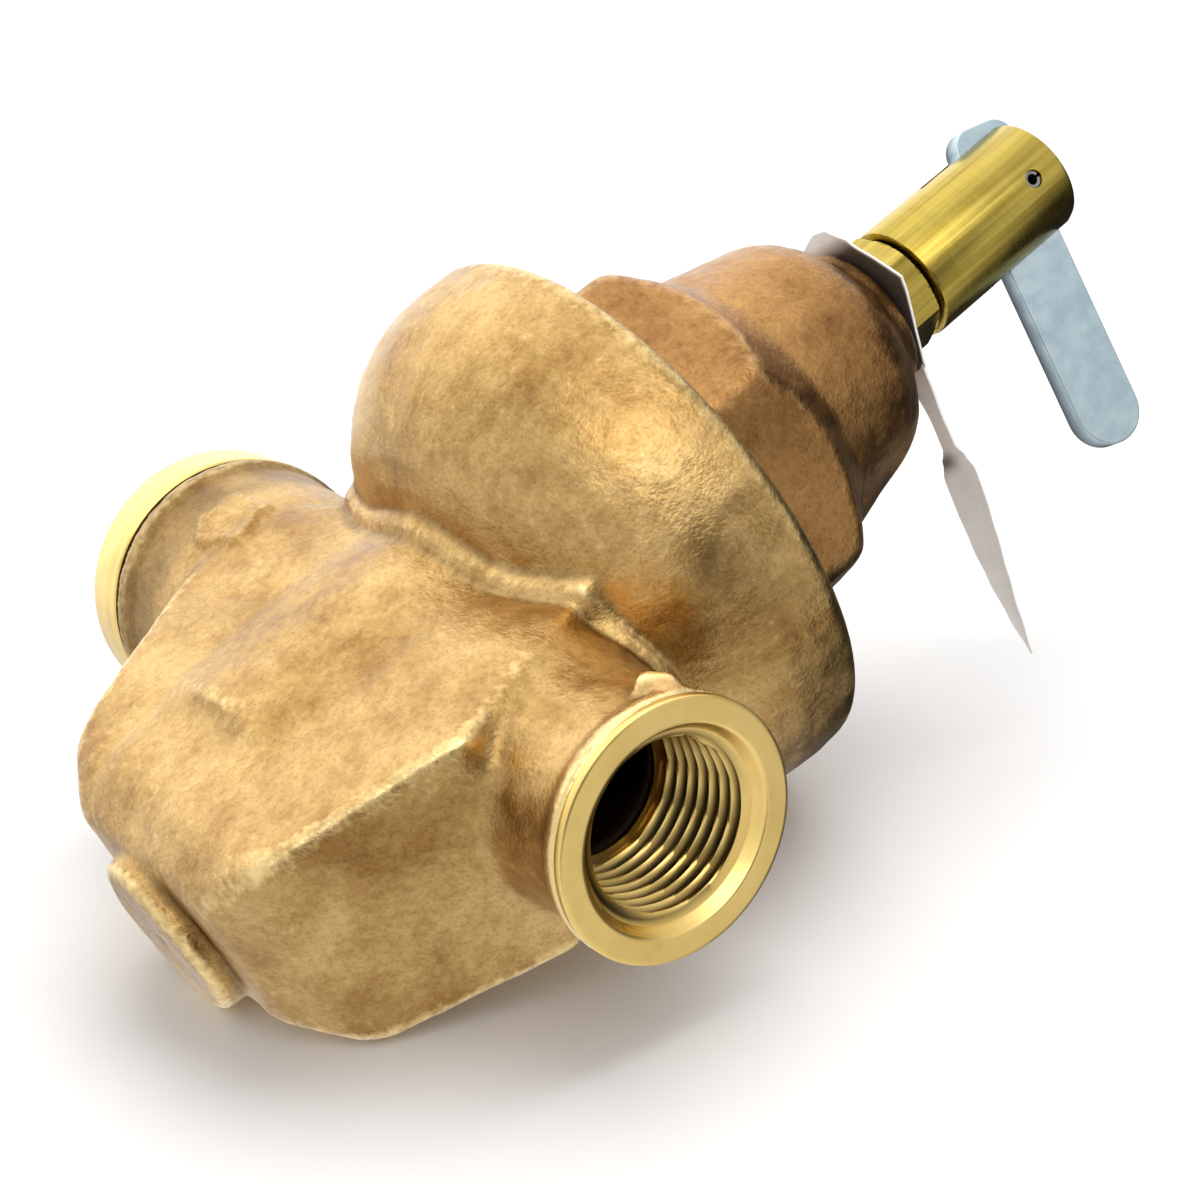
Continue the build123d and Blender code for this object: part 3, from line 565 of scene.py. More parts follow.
# ---- turned pieces -------------------------------------------------------------------
def threaded_lathe(name, before, first, last, crest_r, root_r, pitch, after, axis):
    """Turned piece with a threaded stretch; before and after are the plain parts' outlines.

    Plain points carry a negative radius so that the thread leaves them alone."""
    def bend(radius, height, angle):
        """Radius of the helix, whose crests and roots have small flats."""
        if radius < 0:
            return -radius
        saw = abs((height / pitch - angle / (2 * math.pi)) % 1.0 * 2 - 1)
        return root_r + (crest_r - root_r) * min(max((saw - 0.12) / 0.76, 0.0), 1.0)

    steps = int(abs(last - first) / pitch * (12))
    stretch = [(crest_r, first + (last - first) * i / steps) for i in range(steps + 1)]
    outline = [(-r, h) for r, h in before] + stretch + [(-r, h) for r, h in after]
    piece = lathe(name, outline, bend, axis)
    points = np.array([vertex.co for vertex in piece.data.vertices]) / MM
    height = points[:, 2 if axis == "Z" else 0]
    across = points[:, :2] if axis == "Z" else points[:, 1:]
    radius = np.hypot(*across.T)
    # painted shade in the thread grooves, darkest at the roots
    depth = np.clip((radius - crest_r) / (root_r - crest_r), 0, 1)
    threaded = (height > min(first, last) - 0.1) & (height < max(first, last) + 0.1)
    threaded &= np.abs(radius - (crest_r + root_r) / 2) < abs(root_r - crest_r) / 2 + 0.05
    mark(piece, "painted_shade", np.clip(1.5 * depth, 0, 0.92) * threaded)
    return piece


def make_outlet_insert():
    """Machined outlet: flat face, countersunk mouth and the pipe thread."""
    edge = OUTLET_RING_R - 0.05
    face = [
        (INSERT_R - 0.05, OUTLET_X - FACE_THICKNESS), (edge - 0.1, OUTLET_X - FACE_THICKNESS),
        (edge, OUTLET_X - FACE_THICKNESS + 0.2), (edge, OUTLET_X - 0.25), (edge - 0.06, OUTLET_X - 0.08),
        (edge - 0.22, OUTLET_X), (edge - 0.5, OUTLET_X), (PORT_MOUTH_R + 0.4, OUTLET_X),
        (PORT_MOUTH_R + 0.15, OUTLET_X), (PORT_MOUTH_R, OUTLET_X - 0.1),
        (PORT_MOUTH_R * 0.85 + PORT_ROOT_R * 0.15, OUTLET_X - 0.28), (PORT_ROOT_R + 0.1, OUTLET_X - 1.3),
    ]
    end = OUTLET_X - PORT_DEPTH
    back = [(PORT_INNER_R + 0.1, end + 0.6), (PORT_INNER_R + 0.1, end + 0.1), (INSERT_R - 0.05, end + 0.1)]
    return threaded_lathe(
        "outlet_thread", face, OUTLET_X - 1.4, end + 0.8, PORT_CREST_R, PORT_ROOT_R, PORT_PITCH, back, "X"
    )


def make_collar():
    """Polished inlet collar with its own pipe thread."""
    inner_end = COLLAR_X + PORT_DEPTH
    outside = [
        (PORT_INNER_R, inner_end), (PORT_INNER_R, -37.0), (SPIGOT_R - 0.05, -37.0),
        (SPIGOT_R - 0.05, INLET_RIM_X),
        (COLLAR_R - 1.3, INLET_RIM_X), (COLLAR_R - 1.3, INLET_RIM_X - 0.7),
        (COLLAR_R - 0.2, INLET_RIM_X - 0.8), (COLLAR_R, INLET_RIM_X - 1.0), (COLLAR_R, COLLAR_X + 1.6),
        (COLLAR_R - 0.15, COLLAR_X + 0.9), (COLLAR_R - 0.55, COLLAR_X + 0.35), (COLLAR_R - 1.2, COLLAR_X),
        (COLLAR_R - 1.5, COLLAR_X), (PORT_MOUTH_R + 0.4, COLLAR_X), (PORT_MOUTH_R + 0.15, COLLAR_X),
        (PORT_MOUTH_R, COLLAR_X + 0.1), (PORT_ROOT_R + 0.1, COLLAR_X + 1.3),
    ]
    return threaded_lathe(
        "collar_turned", outside, COLLAR_X + 1.4, inner_end - 0.8, PORT_CREST_R, PORT_ROOT_R, PORT_PITCH, [],
        "X",
    )


def pin_frame_point(along_pin, along_lever, up):
    """Frame point from distances along the pin, level along the lever, and up."""
    c, s = math.cos(LEVER_HEADING), math.sin(LEVER_HEADING)
    return (along_pin * c - along_lever * s, along_pin * s + along_lever * c, up)


def place_on_pin(u, v, w):
    """Frame point w along the pin, u along the lever and v above the pin's axis."""
    return pin_frame_point(w, u, PIN_Z + v)


def circle(radius, steps=40):
    """Round outline."""
    angles = (2 * math.pi * i / steps for i in range(steps))
    return [(radius * math.cos(a), radius * math.sin(a)) for a in angles]


def prism(name, profile, start, end, place):
    """A flat outline pushed between two distances w; place(u, v, w) gives a frame point."""
    count = len(profile)
    vertices = [place(u, v, w) for w in (start, end) for u, v in profile]
    faces = [tuple(range(count)), tuple(reversed(range(count, 2 * count)))]
    faces += [(i, count + i, count + (i + 1) % count, (i + 1) % count) for i in range(count)]
    return fix_normals(add_mesh(name, vertices, faces))


def soften(piece, width_mm, angle=30, segments=3):
    """Bevel every sharp edge and smooth the shading between flats."""
    bevel = piece.modifiers.new("bevel", "BEVEL")
    bevel.width = width_mm * MM
    bevel.segments = segments
    bevel.limit_method = "ANGLE"
    bevel.angle_limit = math.radians(angle)
    bevel.harden_normals = True
    return apply_modifiers(piece)


def cut_away(piece, cutter):
    """Take the cutter's space out of a piece and delete the cutter."""
    cut = piece.modifiers.new("cut", "BOOLEAN")
    cut.operation = "DIFFERENCE"
    cut.solver = "EXACT"
    cut.object = cutter
    apply_modifiers(piece)
    bpy.data.objects.remove(cutter)
    return piece


def make_screw():
    """Adjusting screw: threaded shank below, slotted round head with fine turning marks above."""
    thread_top = HEAD_BOTTOM_Z - 1.8
    head = [
        (SCREW_R - 0.9, thread_top + 0.4), (SCREW_R - 0.9, HEAD_BOTTOM_Z), (HEAD_R - 0.5, HEAD_BOTTOM_Z),
        (HEAD_R - 0.12, HEAD_BOTTOM_Z + 0.15), (HEAD_R, HEAD_BOTTOM_Z + 0.5), (HEAD_R, HEAD_TOP_Z - 1.0),
        (HEAD_R - 0.2, HEAD_TOP_Z - 0.45), (HEAD_R - 0.9, HEAD_TOP_Z), (2.1, HEAD_TOP_Z), (2.1, SCREW_TIP_Z),
        (SCREW_R - 1.0, SCREW_TIP_Z),
    ]
    screw = threaded_lathe(
        "adjusting_screw_turned", [], SCREW_TIP_Z + 0.8, thread_top, SCREW_R - 0.02, SCREW_R - 0.72,
        SCREW_PITCH, head, "Z",
    )
    reach, above = 2 * HEAD_R, HEAD_TOP_Z + 4
    slot = [(-reach, SLOT_FLOOR_Z), (reach, SLOT_FLOOR_Z), (reach, above), (-reach, above)]
    half = SLOT_WIDTH / 2
    cut_away(screw, prism("slot_cutter", slot, -half, half, lambda u, v, w: pin_frame_point(w, u, v)))
    cut_away(screw, prism("pin_cutter", circle(PIN_R + 0.04), -12, 12, place_on_pin))
    screw.data.set_sharp_from_angle(angle=math.radians(30))
    return screw


def make_lever():
    """Flat lever with rounded end, worn corners and the cam edge that pushes the plunger."""
    half, half_thickness = 4.7, 1.5
    long_arm, short_arm = 35.5, 9.9
    cam_reach, cam_rise = 5.5, 2.5
    centre = long_arm - half
    outline = []
    for step in range(9):
        lift = LEVER_LIFT * step / 8
        reach = cam_reach + cam_rise * step / 8
        outline.append((-reach * math.sin(lift - LEVER_DROOP), -reach * math.cos(lift - LEVER_DROOP)))
    corner = 3.0
    cut_in = ROUND_OFF * corner
    flat_end, cut_end = corner - short_arm, cut_in - short_arm
    outline += arc((flat_end, -half), (cut_end, cut_in - half), (-short_arm, corner - half))
    outline += arc((-short_arm, half - corner), (cut_end, half - cut_in), (flat_end, half))
    outline += [(flat_end, half)]
    outline += arc((centre, half), (long_arm, 0), (centre, -half), 24)
    outline += [(centre, -half), (3.4, -half)]
    c, s = math.cos(LEVER_DROOP), math.sin(LEVER_DROOP)

    def place(u, v, w):
        return place_on_pin(u * c + v * s, v * c - u * s, w)

    lever = prism("lever_plate", outline, -half_thickness, half_thickness, place)
    cut_away(lever, prism("hole_cutter", circle(PIN_R + 0.07), -3, 3, place))
    soften(lever, 0.22, angle=40, segments=3)
    # painted shade on the sheared sides, darker towards the far face
    origin, along = (Vector(pin_frame_point(w, 0, 0)) for w in (0, 1))
    offsets = np.array([(vertex.co / MM - origin).dot(along - origin) for vertex in lever.data.vertices])
    side = np.clip((half_thickness - 0.04 - np.abs(offsets)) / 0.12, 0, 1)
    mark(lever, "painted_shade", side * np.clip(0.5 - 0.36 * offsets, 0, 1))
    return lever


def make_pin():
    """Rolled spring pin: a split tube with softened ends."""
    inner, half_length = PIN_R - 0.5, 7.65
    split = 0.16
    angles = [math.pi / 2 + split + (2 * math.pi - 2 * split) * i / 36 for i in range(37)]
    walls = ((PIN_R, angles), (inner, angles[::-1]))
    outline = [(r * math.cos(a), r * math.sin(a)) for r, wall in walls for a in wall]
    pin = prism("rolled_pin", outline, -half_length, half_length, place_on_pin)
    return soften(pin, 0.12, angle=50, segments=2)


def make_nut():
    """Lock nut: hexagon chamfered on both faces, with a countersunk bore."""
    apothem = NUT_WIDTH / 2
    corner_r = apothem / math.cos(math.pi / 6)
    chamfer_r, chamfer_depth = apothem - 0.35, 0.75
    turn = math.radians(8)

    def hexed(radius, height, angle):
        if radius < SCREW_R + 1.0:
            return radius
        local = (angle - turn) % (math.pi / 3) - math.pi / 6
        return min(radius, apothem / math.cos(local))

    low, high = NUT_BOTTOM_Z, NUT_TOP_Z
    parts = [i / 6 for i in range(7)]
    chamfer = [(chamfer_r + (corner_r - chamfer_r) * part, chamfer_depth * part**1.2) for part in parts]
    outline = [(SCREW_R + 0.06, low + 0.6), (SCREW_R + 0.55, low)]
    outline += [(radius, low + depth) for radius, depth in chamfer]
    outline += [(radius, high - depth) for radius, depth in reversed(chamfer)]
    outline += [(SCREW_R + 0.55, high), (SCREW_R + 0.06, high - 0.6)]
    nut = lathe("lock_nut_turned", outline, hexed, steps=240)
    nut.data.set_sharp_from_angle(angle=math.radians(24))
    return nut


def make_tag_plate():
    """The tag's curled plate round the screw, with painted shade on its underside that fades out where its
    far edge curls up.
    """
    # outline as (along the pin, along the lever)
    outline = [
        (-3.2, -10.9), (0.2, -12.0), (3.5, -11.6), (7.6, -9.3), (10.6, -5.6), (13.2, -1.9), (12.1, -0.1),
        (8.1, 4.9), (5.4, 8.6), (4.8, 9.6), (-0.4, 9.6), (-4.4, 9.0), (-8.2, 5.2), (-9.6, 0.6), (-8.9, -4.4),
        (-6.6, -8.8),
    ]

    def edge_at(angle):
        """Distance from the screw's axis to the outline in a direction."""
        c, s = math.cos(angle), math.sin(angle)
        reach = 0
        for (x0, y0), (x1, y1) in zip(outline, outline[1:] + outline[:1]):
            ex, ey = x1 - x0, y1 - y0
            cross = c * ey - s * ex
            if abs(cross) < 1e-9:
                continue
            along = (x0 * ey - y0 * ex) / cross
            part = (x0 * s - y0 * c) / cross
            if along > 0 and -1e-6 <= part <= 1 + 1e-6:
                reach = max(reach, along)
        return reach

    hole = SCREW_R + 0.3
    turn = 180
    rings = 12
    under, over, painted_shade_values = [], [], []
    for ring in range(rings + 1):
        under.append([])
        over.append([])
        for angle in (2 * math.pi * i / turn for i in range(turn)):
            reach = hole + (edge_at(angle) - hole) * ring / rings
            n, q = reach * math.cos(angle), reach * math.sin(angle)
            curl = 1.5 * (max(0.0, -q - 7.2) / 4.8) ** 2
            wave = 0.25 * math.cos(0.24 * n + 0.4) * (reach > 7.5)
            height = TAG_Z + 0.05 + curl - wave
            under[-1].append(pin_frame_point(n, q, height))
            over[-1].append(pin_frame_point(n, q, height + TAG_THICKNESS))
            # painted shade on the plate's underside, fading out where the far edge curls up; the upper face
            # gets none
            painted_shade_values.append(min(max((q + 10.5) / 2.5, 0), 0.95) if ring < rings else 0)
    plate = slab("tag_plate", under, over, wrap=True)
    mark(plate, "painted_shade", painted_shade_values + [0] * len(painted_shade_values))
    return plate


def make_tag_tail():
    """The tag's narrow tail, which droops and twists, with painted shade along the crease where it turns and
    a slight darkening towards the tip.
    """
    # distance along it, half width, twist in degrees
    stations = [
        (-1.2, 2.6, 0), (2, 2.3, -2), (7, 1.7, -4), (10.8, 1.5, 2), (12.2, 1.9, 20), (14.5, 2.35, 30),
        (18, 2.2, 34), (23, 1.9, 34), (28, 1.45, 32), (33, 0.85, 30), (38.6, 0.12, 28),
    ]
    droop = math.radians(17)
    slope, rise = math.cos(droop), math.sin(droop)
    start_q, start_z = 9.3, TAG_Z + 0.1
    along, across = 60, 6
    under, over, painted_shade_values = [], [], []
    for k in range(along + 1):
        distance = stations[0][0] + (stations[-1][0] - stations[0][0]) * k / along
        for before, after in zip(stations, stations[1:]):
            if before[0] <= distance <= after[0] + 1e-9:
                t = (distance - before[0]) / (after[0] - before[0])
                t = t * t * (3 - 2 * t)
                half = before[1] + (after[1] - before[1]) * t
                twist = math.radians(before[2] + (after[2] - before[2]) * t)
        bow = 0.35 * math.sin(distance / 6.5)
        centre = (2.2, start_q + distance * slope, start_z - distance * rise + bow)
        # width and thickness directions in (pin, lever, up)
        wide = (math.cos(twist), math.sin(twist) * rise, math.sin(twist) * slope)
        thin = (-math.sin(twist), math.cos(twist) * rise, math.cos(twist) * slope)
        for side, rows in ((-0.5, under), (0.5, over)):
            row = []
            for i in range(across + 1):
                part = 2 * i / across - 1
                lift = TAG_THICKNESS * side + 0.12 * (1 - part**2)
                place = (c + w * part * half + t * lift for c, w, t in zip(centre, wide, thin))
                row.append(pin_frame_point(*place))
            rows.append(row)
        # painted shade along one side of the crease where the tail turns, and a slight darkening towards the
        # tip
        crease = math.exp(-(((distance - 12.4) / 1.1) ** 2))
        tip_darkening = 0.05 * min(max(distance - 12, 0), 8) / 8
        edges = (min(max(0.5 - (2 * i / across - 1), 0), 1) for i in range(across + 1))
        painted_shade_values += [0.85 * crease * edge + tip_darkening for edge in edges]
    tail = slab("tag_tail", under, over, wrap=False)
    mark(tail, "painted_shade", painted_shade_values * 2)
    return tail


# ---- materials -----------------------------------------------------------------------
def add_node(tree, kind, inputs=None, **settings):
    """New shader node; each of its inputs gets another node's output, a number, a vector or a colour."""
    node = tree.nodes.new(kind)
    for name, value in settings.items():
        setattr(node, name, value)
    for key, value in (inputs or {}).items():
        socket = node.inputs[key]
        if isinstance(value, bpy.types.NodeSocket):
            tree.links.new(value, socket)
        else:
            socket.default_value = (*value, 1) if socket.type == "RGBA" else value
    return node


class Finish:
    """Material whose nodes read the piece's own place in millimetres."""

    def __init__(self, name, metallic, roughness):
        self.material = bpy.data.materials.new(name)
        self.material.use_nodes = True
        self.tree = self.material.node_tree
        self.tree.nodes.clear()
        self.skin = self.add("ShaderNodeBsdfPrincipled", {"Metallic": metallic, "Roughness": roughness})
        self.output = self.add("ShaderNodeOutputMaterial", {0: self.skin.outputs[0]})
        coordinates = self.add("ShaderNodeTexCoord")
        self.place = self.stretch(coordinates.outputs["Object"], (1 / MM, 1 / MM, 1 / MM))
        self.bumped = None

    def add(self, kind, inputs=None, **settings):
        """New node of this material."""
        return add_node(self.tree, kind, inputs, **settings)

    def stretch(self, vector, scale):
        """Vector with each part multiplied."""
        return self.add("ShaderNodeVectorMath", {0: vector, 1: scale}, operation="MULTIPLY").outputs[0]

    def noise(self, size, detail=3.0, place=None, roughness=0.55):
        """Noise from 0 to 1 that changes over about size millimetres."""
        inputs = {"Vector": place or self.place, "Scale": 1 / size, "Detail": detail, "Roughness": roughness}
        return self.add("ShaderNodeTexNoise", inputs).outputs[0]

    def math(self, operation, a, b):
        """One arithmetic node."""
        return self.add("ShaderNodeMath", {0: a, 1: b}, operation=operation).outputs[0]

    def weighted(self, *parts):
        """Sum of values, each times its share."""
        total = 0.0
        for value, share in parts:
            total = self.math("ADD", self.math("MULTIPLY", value, share), total)
        return total

    def spread(self, value, low, high, to_low=0.0, to_high=1.0):
        """Value mapped from one range to another and held inside it."""
        inputs = {0: value, 1: low, 2: high, 3: to_low, 4: to_high}
        return self.add("ShaderNodeMapRange", inputs).outputs[0]

    def ramp(self, value, stops):
        """Colour ramp from (place, (r, g, b)) stops."""
        node = self.add("ShaderNodeValToRGB", {0: value})
        elements = node.color_ramp.elements
        while len(elements) < len(stops):
            elements.new(0.5)
        for element, (place, colour) in zip(elements, stops):
            element.position = place
            element.color = (*colour, 1)
        return node.outputs[0]

    def mix(self, factor, a, b, blend="MIX"):
        """Mixed colour."""
        inputs = {0: factor, 6: a, 7: b}
        return self.add("ShaderNodeMix", inputs, data_type="RGBA", blend_type=blend).outputs[2]

    def attribute(self, name):
        """A number stored on the mesh."""
        return self.add("ShaderNodeAttribute", attribute_name=name).outputs["Fac"]

    def drive(self, name, value):
        """Sets an input of the surface."""
        self.tree.links.new(value, self.skin.inputs[name])

    def bump(self, height, depth, strength=1.0):
        """Adds a layer of relief, depth millimetres deep."""
        inputs = {"Strength": strength, "Distance": depth * MM, "Height": height}
        if self.bumped:
            inputs["Normal"] = self.bumped
        self.bumped = self.add("ShaderNodeBump", inputs).outputs[0]
        self.drive("Normal", self.bumped)


def cast_finish(name, dark, middle, light, worn, grain):
    """Sand-cast bronze: stains, blotches, sand grain, pits, and edges rubbed bright."""
    f = Finish(name, 1.0, 0.42)
    stain = f.noise(17.0, 3.0)
    blotch = f.noise(4.5, 4.0)
    speckle = f.noise(1.1 * grain, 3.0)
    sand = f.noise(0.42 * grain, 2.0)
    tone = f.weighted((stain, 0.5), (blotch, 0.3), (speckle, 0.2))
    skin = f.ramp(tone, [(0.38, dark), (0.49, middle), (0.62, light)])
    pits = f.spread(sand, 0.30, 0.52, 0.78, 1.0)
    skin = f.mix(1.0, skin, pits, "MULTIPLY")
    rub = f.weighted((f.attribute("edge"), 1.0), (f.math("SUBTRACT", speckle, 0.5), 0.22))
    rubbed = f.math("MULTIPLY", f.spread(rub, 0.05, 0.19), 0.75)
    skin = f.mix(rubbed, skin, worn)
    hollow = f.spread(f.attribute("edge"), -0.16, -0.02, 0.55, 1.0)
    skin = f.mix(1.0, skin, hollow, "MULTIPLY")
    # painted shade: where the mesh stores it, the colour goes nearly black
    f.drive("Base Color", f.mix(f.attribute("painted_shade"), skin, (0.030, 0.016, 0.009)))
    rough = f.spread(blotch, 0.35, 0.65, 0.30, 0.46)
    f.drive("Roughness", f.weighted((rough, 1.0), (rubbed, -0.10), (f.attribute("painted_shade"), 0.3)))
    f.bump(blotch, 0.35, 0.5)
    f.bump(speckle, 0.11 * grain, 0.7)
    f.bump(sand, 0.07 * grain, 0.8)
    return f.material


def turned_finish(name, low, high, axis, roughness, streak=0.0):
    """Turned brass: rings of tool marks about one axis, faint stains, and painted shade in the thread roots.

    streak adds the long marks of drawn bar."""
    f = Finish(name, 1.0, roughness)
    turned = f.stretch(f.place, [1.0 if i == axis else 0.02 for i in range(3)])
    rings = f.noise(0.16, 2.0, turned)
    broad = f.noise(1.3, 2.0, turned)
    drawn = f.noise(1.1, 4.0, f.stretch(f.place, [0.015 if i == axis else 1.0 for i in range(3)]), 0.7)
    stain = f.noise(6.0, 4.0)
    tone = f.weighted((stain, 0.6 * (1 - streak)), (broad, 0.4 * (1 - streak)), (drawn, streak))
    skin = f.ramp(tone, [(0.36, low), (0.60, high)])
    # painted shade in the thread roots
    f.drive("Base Color", f.mix(f.attribute("painted_shade"), skin, (0.05, 0.028, 0.010)))
    rough = f.spread(stain, 0.3, 0.7, roughness - 0.05, roughness + 0.08)
    f.drive("Roughness", f.math("ADD", rough, f.spread(rings, 0.3, 0.7, -0.03, 0.05)))
    f.bump(broad, 0.04, 0.35 * (1 - streak))
    if streak:
        f.bump(drawn, 0.05, 0.5)
    f.bump(rings, 0.02, 0.5 * (1 - 0.6 * streak))
    f.bump(f.noise(0.5, 3.0), 0.01, 0.4)
    return f.material


def plated_finish(name, low, high, roughness, mottle=3.0):
    """Plated or drawn steel: cloudy mottling and fine scuffs."""
    f = Finish(name, 1.0, roughness)
    cloud = f.noise(mottle, 4.0)
    scuff = f.noise(1.2, 3.0, f.stretch(f.place, (1.0, 1.0, 0.15)))
    tone = f.weighted((cloud, 0.75), (scuff, 0.25))
    skin = f.ramp(tone, [(0.36, low), (0.62, high)])
    # painted shade where the mesh stores it, as on the lever's sheared sides
    f.drive("Base Color", f.mix(f.attribute("painted_shade"), skin, (0.05, 0.06, 0.08)))
    f.drive("Roughness", f.spread(tone, 0.35, 0.65, roughness + 0.08, roughness - 0.05))
    f.bump(cloud, 0.05, 0.3)
    f.bump(scuff, 0.015, 0.5)
    return f.material


def plain_finish(name, low, high, roughness, grain):
    """Rubber, fibre, acetal or tag sheet: speckled, with a fine surface grain."""
    f = Finish(name, 0.0, roughness)
    cloud = f.noise(4.0, 3.0)
    fine = f.noise(grain, 3.0)
    tone = f.weighted((cloud, 0.6), (fine, 0.4))
    skin = f.ramp(tone, [(0.38, low), (0.62, high)])
    # painted shade where the mesh stores it, as under the tag and along the tail's crease
    f.drive("Base Color", f.mix(f.attribute("painted_shade"), skin, (0.035, 0.022, 0.016)))
    f.drive("Roughness", f.spread(fine, 0.3, 0.7, roughness - 0.06, roughness + 0.08))
    f.bump(fine, 0.03, 0.5)
    return f.material


FINISHES = {
    "bronze_body": cast_finish("cast_bronze", (0.31, 0.165, 0.050), (0.46, 0.285, 0.100), (0.66, 0.44, 0.180),
                               (0.98, 0.76, 0.36), 1.0),
    "bronze_bonnet": cast_finish("red_bronze", (0.22, 0.100, 0.032), (0.35, 0.180, 0.060),
                                 (0.48, 0.260, 0.092), (0.62, 0.38, 0.15), 1.15),
    "brass_collar": turned_finish("port_brass", (0.68, 0.475, 0.14), (0.92, 0.67, 0.24), 0, 0.30),
    "brass_head": turned_finish("bar_brass", (0.28, 0.195, 0.028), (0.50, 0.38, 0.080), 2, 0.24, streak=0.8),
    "brass_inner": turned_finish("inner_brass", (0.55, 0.38, 0.12), (0.75, 0.56, 0.22), 2, 0.32),
    "stainless": plated_finish("stainless", (0.48, 0.48, 0.47), (0.66, 0.66, 0.65), 0.30),
    "steel_plate": plated_finish("zinc_steel", (0.40, 0.41, 0.40), (0.58, 0.58, 0.55), 0.38),
    "spring_steel": plated_finish("spring_wire", (0.20, 0.21, 0.23), (0.36, 0.37, 0.40), 0.35),
    "zinc_lever": plated_finish("bright_zinc", (0.38, 0.48, 0.53), (0.48, 0.59, 0.63), 0.36, 2.6),
    "pin_steel": plated_finish("dark_steel", (0.12, 0.12, 0.12), (0.30, 0.29, 0.28), 0.35),
    "tag_sheet": plain_finish("tag_sheet", (0.87, 0.855, 0.83), (0.95, 0.94, 0.92), 0.45, 0.6),
    "rubber": plain_finish("rubber", (0.018, 0.018, 0.018), (0.05, 0.05, 0.052), 0.6, 0.3),
    "fibre": plain_finish("fibre", (0.20, 0.11, 0.07), (0.36, 0.22, 0.14), 0.75, 0.5),
    "acetal": plain_finish("acetal", (0.72, 0.71, 0.66), (0.86, 0.85, 0.80), 0.4, 0.8),
}

INNER_FINISHES = {
    "valve_seat": "stainless", "seat_gasket": "fibre", "slip_ring": "fibre", "diaphragm": "rubber",
    "collar_gasket": "rubber", "strainer_screen": "stainless", "check_cage": "acetal",
    "check_spring": "spring_steel", "return_spring": "spring_steel", "spring_button": "steel_plate",
    "range_spring": "spring_steel", "plunger": "stainless", "stem": "stainless",
    "disc_holder": "brass_inner", "seat_disc": "rubber", "disc_nut": "brass_inner",
    "diaphragm_washer": "brass_inner", "pressure_plate": "steel_plate", "diaphragm_nut": "brass_inner",
    "check_poppet": "acetal", "check_disc": "rubber",
}


def dress(piece, slot):
    """Give a piece the finish of a slot."""
    piece.data.materials.clear()
    piece.data.materials.append(FINISHES[slot])


# ---- the object ----------------------------------------------------------------------
# piece, the body it rides on, the CAD node it stands for, its material slot
PIECES = [
    (make_body(), "root", "body", "bronze_body"),
    (make_bonnet(), "root", "bonnet", "bronze_bonnet"),
    (make_outlet_insert(), "root", None, "brass_collar"),
    (make_collar(), "root", "inlet_collar", "brass_collar"),
    (make_screw(), "adjusting_screw", "adjusting_screw", "brass_head"),
    (make_nut(), "lock_nut", "lock_nut", "brass_head"),
    (make_lever(), "lever", "lever", "zinc_lever"),
    (make_pin(), "adjusting_screw", "lever_pin", "pin_steel"),
    (make_tag_plate(), "tag", "info_tag", "tag_sheet"),
    (make_tag_tail(), "tag", "info_tag", "tag_sheet"),
]
for piece, body, node, slot in PIECES:
    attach(piece, body)
    if node:
        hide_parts(node)
    dress(piece, slot)
for node, slot in INNER_FINISHES.items():
    dress(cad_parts[node], slot)

# ---- floor, light and camera ---------------------------------------------------------
# the valve rests on the bowl's rim and the block, with its +Y side down
FLOOR_UP = Vector((-0.04, -0.94, 0.34)).normalized()


def floor_material():
    """Matt white sweep, seen only from above."""
    f = Finish("white_sweep", 0.0, 0.7)
    shade = f.noise(180.0, 2.0)
    f.drive("Base Color", f.ramp(shade, [(0.3, (0.86, 0.86, 0.87)), (0.7, (0.90, 0.90, 0.905))]))
    f.bump(f.noise(2.0, 2.0), 0.02, 0.2)
    side = f.add("ShaderNodeNewGeometry").outputs["Backfacing"]
    clear = f.add("ShaderNodeBsdfTransparent").outputs[0]
    choose = f.add("ShaderNodeMixShader", {0: side, 1: f.skin.outputs[0], 2: clear})
    f.tree.links.new(choose.outputs[0], f.output.inputs[0])
    return f.material


lowest = min(
    (piece.matrix_world @ vertex.co).dot(FLOOR_UP) for piece, *_ in PIECES for vertex in piece.data.vertices
)
bpy.ops.mesh.primitive_plane_add(size=8)
floor = bpy.context.object
floor.name = "floor"
floor.rotation_mode = "QUATERNION"
floor.rotation_quaternion = FLOOR_UP.to_track_quat("Z", "Y")
floor.location = FLOOR_UP * lowest
floor.data.materials.append(floor_material())

# camera axes from its azimuth, elevation and roll
azimuth, elevation, roll = math.radians(55.06), math.radians(-19.27), math.radians(49.2)
across = math.cos(elevation)
back = Vector((math.sin(azimuth) * across, -math.cos(azimuth) * across, math.sin(elevation)))
level = Vector((math.cos(azimuth), math.sin(azimuth), 0))
right = math.cos(roll) * level + math.sin(roll) * back.cross(level)
up = back.cross(right)
aim = Vector((5.3, 2.9, 22.8)) * MM
distance = 270 * MM
camera_data = bpy.data.cameras.new("camera")
camera_data.lens = 68.6
camera_data.sensor_width = 36
camera = bpy.data.objects.new("camera", camera_data)
bpy.context.scene.collection.objects.link(camera)
camera.rotation_mode = "QUATERNION"
camera.rotation_quaternion = Matrix((right, up, back)).transposed().to_quaternion()
camera.location = aim + back * distance
bpy.context.scene.camera = camera

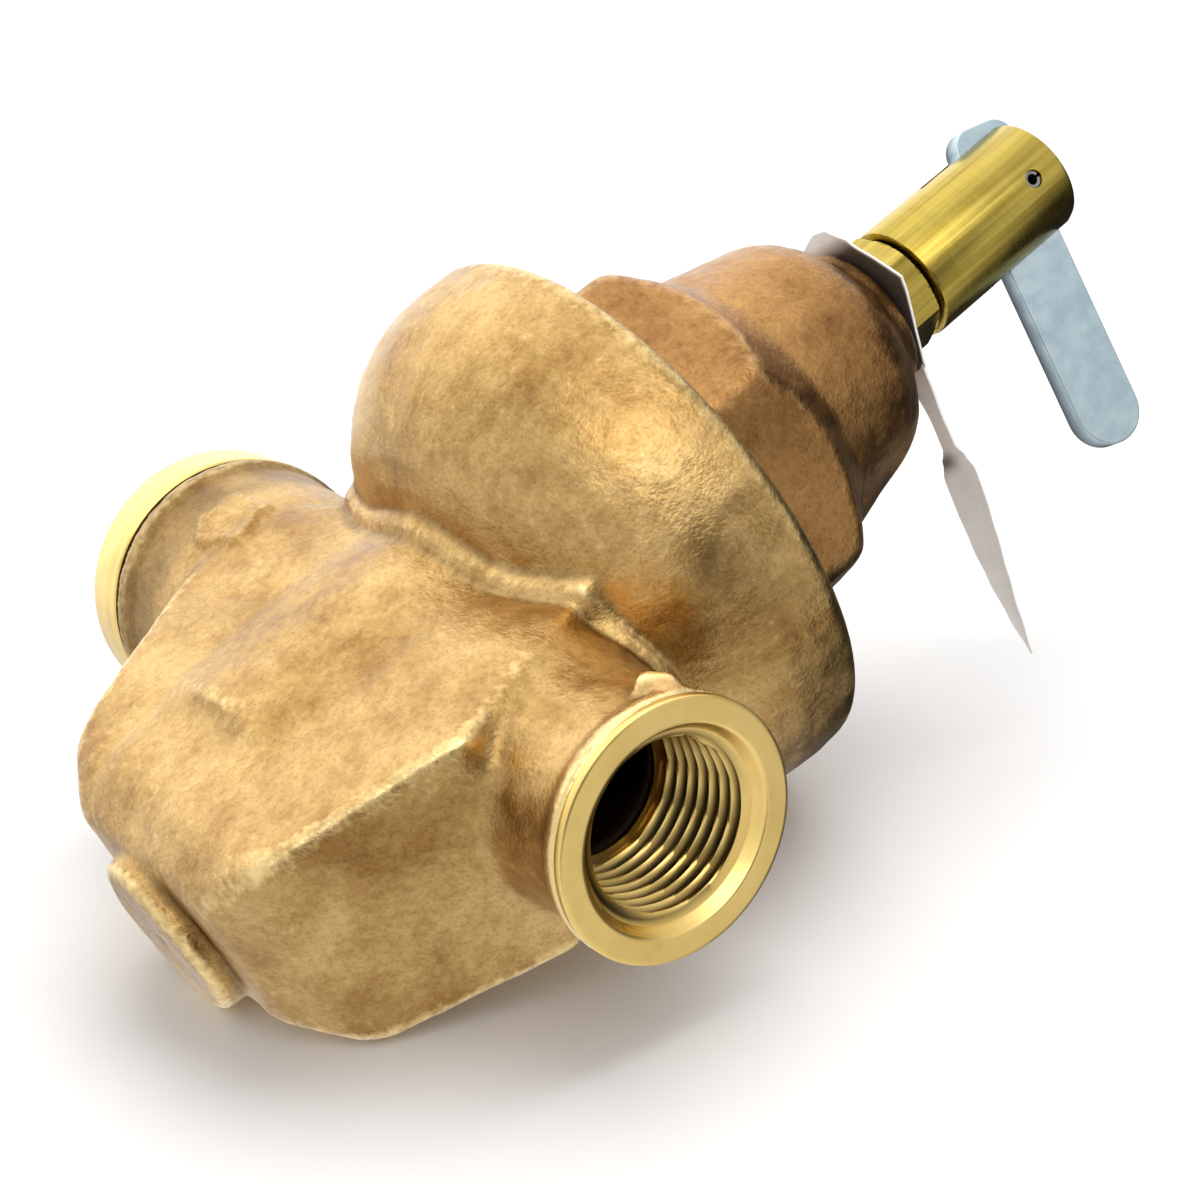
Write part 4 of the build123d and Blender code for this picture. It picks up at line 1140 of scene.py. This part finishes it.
# the lamp hangs over the valve
LAMP_FROM = (right * 0.10 + up * 0.95 + back * 0.02).normalized()
sun_data = bpy.data.lights.new("lamp", "SUN")
sun_data.energy = 2.0
sun_data.angle = math.radians(55)
sun_data.color = (1.0, 0.985, 0.96)
sun = bpy.data.objects.new("lamp", sun_data)
bpy.context.scene.collection.objects.link(sun)
sun.rotation_mode = "QUATERNION"
sun.rotation_quaternion = LAMP_FROM.to_track_quat("Z", "Y")
# the metal mirrors the studio, not the lamp and the sweep
sun.visible_glossy = False
floor.visible_glossy = False

# what the metal mirrors: direction in the camera's axes, outer and inner angle, change of brightness
STUDIO = [
    ((0.08, 0.47, 0.88), 35, 6, 2.0),
    ((-0.43, 0.80, -0.41), 70, 20, 1.0),
    ((0.50, -0.24, 0.83), 37, 8, -0.8),
    ((0.78, 0.00, -0.63), 58, 28, -0.97),
]


def studio_world():
    """White studio, with brighter and darker patches for the metal to mirror."""
    world = bpy.data.worlds.new("studio")
    world.use_nodes = True
    tree = world.node_tree
    place = add_node(tree, "ShaderNodeTexCoord").outputs["Generated"]
    mirrored = 1.0
    for (x, y, z), wide, narrow, change in STUDIO:
        towards = (right * x + up * y + back * z).normalized()
        facing = add_node(tree, "ShaderNodeVectorMath", {0: place, 1: towards}, operation="DOT_PRODUCT")
        limits = {1: math.cos(math.radians(wide)), 2: math.cos(math.radians(narrow)), 3: 0.0, 4: change}
        patch = add_node(tree, "ShaderNodeMapRange", {0: facing.outputs["Value"], **limits},
                         interpolation_type="SMOOTHSTEP")
        mirrored = add_node(tree, "ShaderNodeMath", {0: patch.outputs[0], 1: mirrored}).outputs[0]
    rays = add_node(tree, "ShaderNodeLightPath").outputs
    # the metal mirrors the patches, the camera sees plain white, and the rest is lit more softly
    strength = 0.77
    for kind, level in (("Is Glossy Ray", mirrored), ("Is Camera Ray", 1.0)):
        strength = add_node(tree, "ShaderNodeMix", {0: rays[kind], 2: strength, 3: level}).outputs[0]
    background = tree.nodes["Background"]
    background.inputs["Color"].default_value = (1, 1, 1, 1)
    tree.links.new(strength, background.inputs["Strength"])
    bpy.context.scene.world = world


studio_world()
bpy.context.scene.view_settings.view_transform = "Standard"
